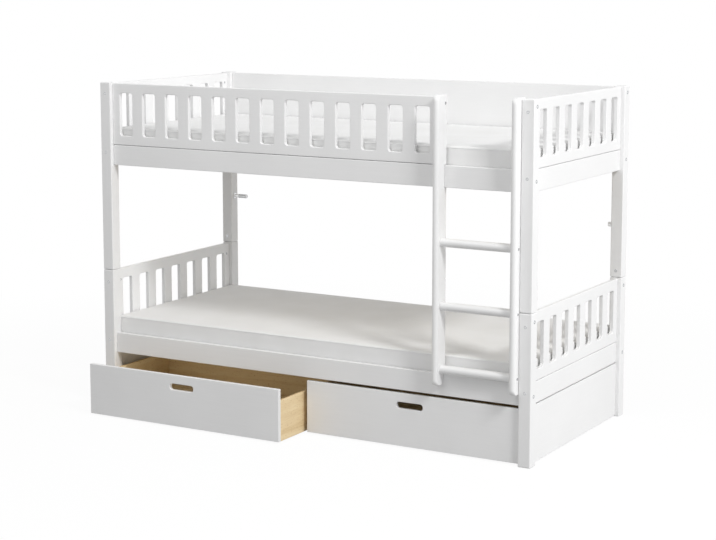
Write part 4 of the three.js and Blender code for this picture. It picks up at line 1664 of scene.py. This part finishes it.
def seen_rays(tree: Tree) -> Node:
    """Adds the nodes that tell the rays that show a thing from those that light others.

    Args:
        tree: The material's or world's node tree.

    Returns:
        The node that gives 1 to camera, mirror and transmission rays, and 0 to all others.
    """
    path = add_node(tree, "LightPath").outputs
    through = {0: path["Is Glossy Ray"], 1: path["Is Transmission Ray"]}
    mirror = add_node(tree, "Math", links=through, operation="MAXIMUM")
    return add_node(tree, "Math", links={0: path["Is Camera Ray"], 1: mirror}, operation="MAXIMUM")


@dataclass(frozen=True)
class StudioFloor(Finish):
    """A matt white studio floor.

    The camera sees it nearly as white as the paper of the photograph. Round the bed a small share of
    its own light and shade stays, and far away none. It is no piece of the bed, so it has no slot.
    """

    seen: str = "#FFFFFF"
    unseen: str = "#A8A8A8"
    near_share: float = 0.94
    near_reach: float = 1.5
    far_reach: float = 3.5

    def nodes(self, tree: Tree) -> Node:
        """Builds the floor: mostly its own white to camera and mirror rays, and grey to all others."""
        place = add_node(tree, "TexCoord").outputs["Object"]
        away = add_node(tree, "VectorMath", links={0: place}, operation="LENGTH").outputs["Value"]
        reach = {"From Min": self.near_reach, "From Max": self.far_reach, "To Min": self.near_share}
        share = add_node(tree, "MapRange", {**reach, "To Max": 1.0}, {"Value": away})
        matt = add_node(tree, "BsdfDiffuse", {"Color": linear(self.seen)})
        glow = add_node(tree, "Emission", {"Color": linear(self.seen), "Strength": 1.0})
        bright = add_node(tree, "MixShader", links={0: share, 1: matt, 2: glow})
        grey = add_node(tree, "BsdfDiffuse", {"Color": linear(self.unseen)})
        return add_node(tree, "MixShader", links={0: seen_rays(tree), 1: grey, 2: bright})


@dataclass
class Studio:
    """The camera at the photograph's place, a white floor, and soft light from the right and the front.

    Attributes:
        camera_place: Where the camera stands.
        yaw: The camera's turn to the left of +Y, in degrees.
        pitch: Its tilt above the horizon, in degrees.
        roll: Its turn about its own line of sight, in degrees.
        focal_pixels: Its focal length in the photograph's pixels.
        centre: The photograph's pixel that its line of sight meets.
        floor_reach: Half the floor's side.
        fill: The strength of the even light from all round.
    """

    camera_place: tuple[float, float, float] = (3.7897961, -6.482182, 1.9305162)
    yaw: float = 29.4355
    pitch: float = -7.758
    roll: float = 0.0755
    focal_pixels: float = 1743.588
    centre: tuple[float, float] = (378.0477, 210.0)
    floor_reach: float = 30.0
    fill: float = 0.52

    def build(self) -> None:
        """Makes the camera, the lamps, the world and the floor."""
        scene = bpy.context.scene
        scene.view_settings.view_transform = "Standard"
        self._camera(scene)
        self._world(scene)
        for box in SOFT_BOXES:
            box.hang()
        self._floor(scene)
        log.info("studio")

    def _camera(self, scene: bpy.types.Scene) -> None:
        """Sets the camera where the photograph was taken from."""
        data = bpy.data.cameras.new("photo_camera")
        data.sensor_width = 36.0
        data.lens = self.focal_pixels / PHOTO_WIDTH * data.sensor_width
        data.shift_x = (PHOTO_WIDTH / 2 - self.centre[0]) / PHOTO_WIDTH
        data.shift_y = (self.centre[1] - PHOTO_HEIGHT / 2) / PHOTO_WIDTH
        data.clip_start, data.clip_end = 0.05, 200.0
        camera = bpy.data.objects.new("photo_camera", data)
        scene.collection.objects.link(camera)
        turn = (
            Matrix.Rotation(math.radians(self.yaw), 4, "Z")
            @ Matrix.Rotation(math.radians(90 + self.pitch), 4, "X")
            @ Matrix.Rotation(math.radians(self.roll), 4, "Z")
        )
        camera.matrix_world = Matrix.Translation(self.camera_place) @ turn
        scene.camera = camera

    def _world(self, scene: bpy.types.Scene) -> None:
        """Fills the room with even light; the camera, metal and glass see it white."""
        world = bpy.data.worlds.new("studio")
        scene.world = world
        world.use_nodes = True
        tree = world.node_tree
        tree.nodes.clear()
        fill, white = (
            add_node(tree, "Background", {"Color": linear("#FFFFFF"), "Strength": strength})
            for strength in (self.fill, 1.0)
        )
        both = add_node(tree, "MixShader", links={0: seen_rays(tree), 1: fill, 2: white})
        add_node(tree, "OutputWorld", links={"Surface": both})

    def _floor(self, scene: bpy.types.Scene) -> None:
        """Lays the floor: white to the camera with a faint shadow, and a plain grey in the bed's light."""
        steps = np.linspace(-self.floor_reach, self.floor_reach, 5)
        plane = Shell.sheet(surface(steps[:, None], steps, 0.0), wrap=False)
        mesh = bpy.data.meshes.new("studio_floor")
        mesh.from_pydata(plane.points.tolist(), [], plane.quads.tolist())
        floor = bpy.data.objects.new("studio_floor", mesh)
        scene.collection.objects.link(floor)
        floor.data.materials.append(StudioFloor("matt_studio_floor").material())


def main() -> None:
    """Builds the bed's pieces and the studio in order."""
    logging.basicConfig(level=logging.INFO, format="%(name)s: %(message)s")
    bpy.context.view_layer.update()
    parts: list[Any] = [Boards(), SlottedPanels(), Ladder()]
    parts += [kind(level) for kind in (SlattedBase, Mattress) for level in Level]
    parts += [Drawer(side) for side in Side]
    parts += [Fasteners(), Studio()]
    for part in parts:
        part.build()


if __name__ == "__main__":
    main()
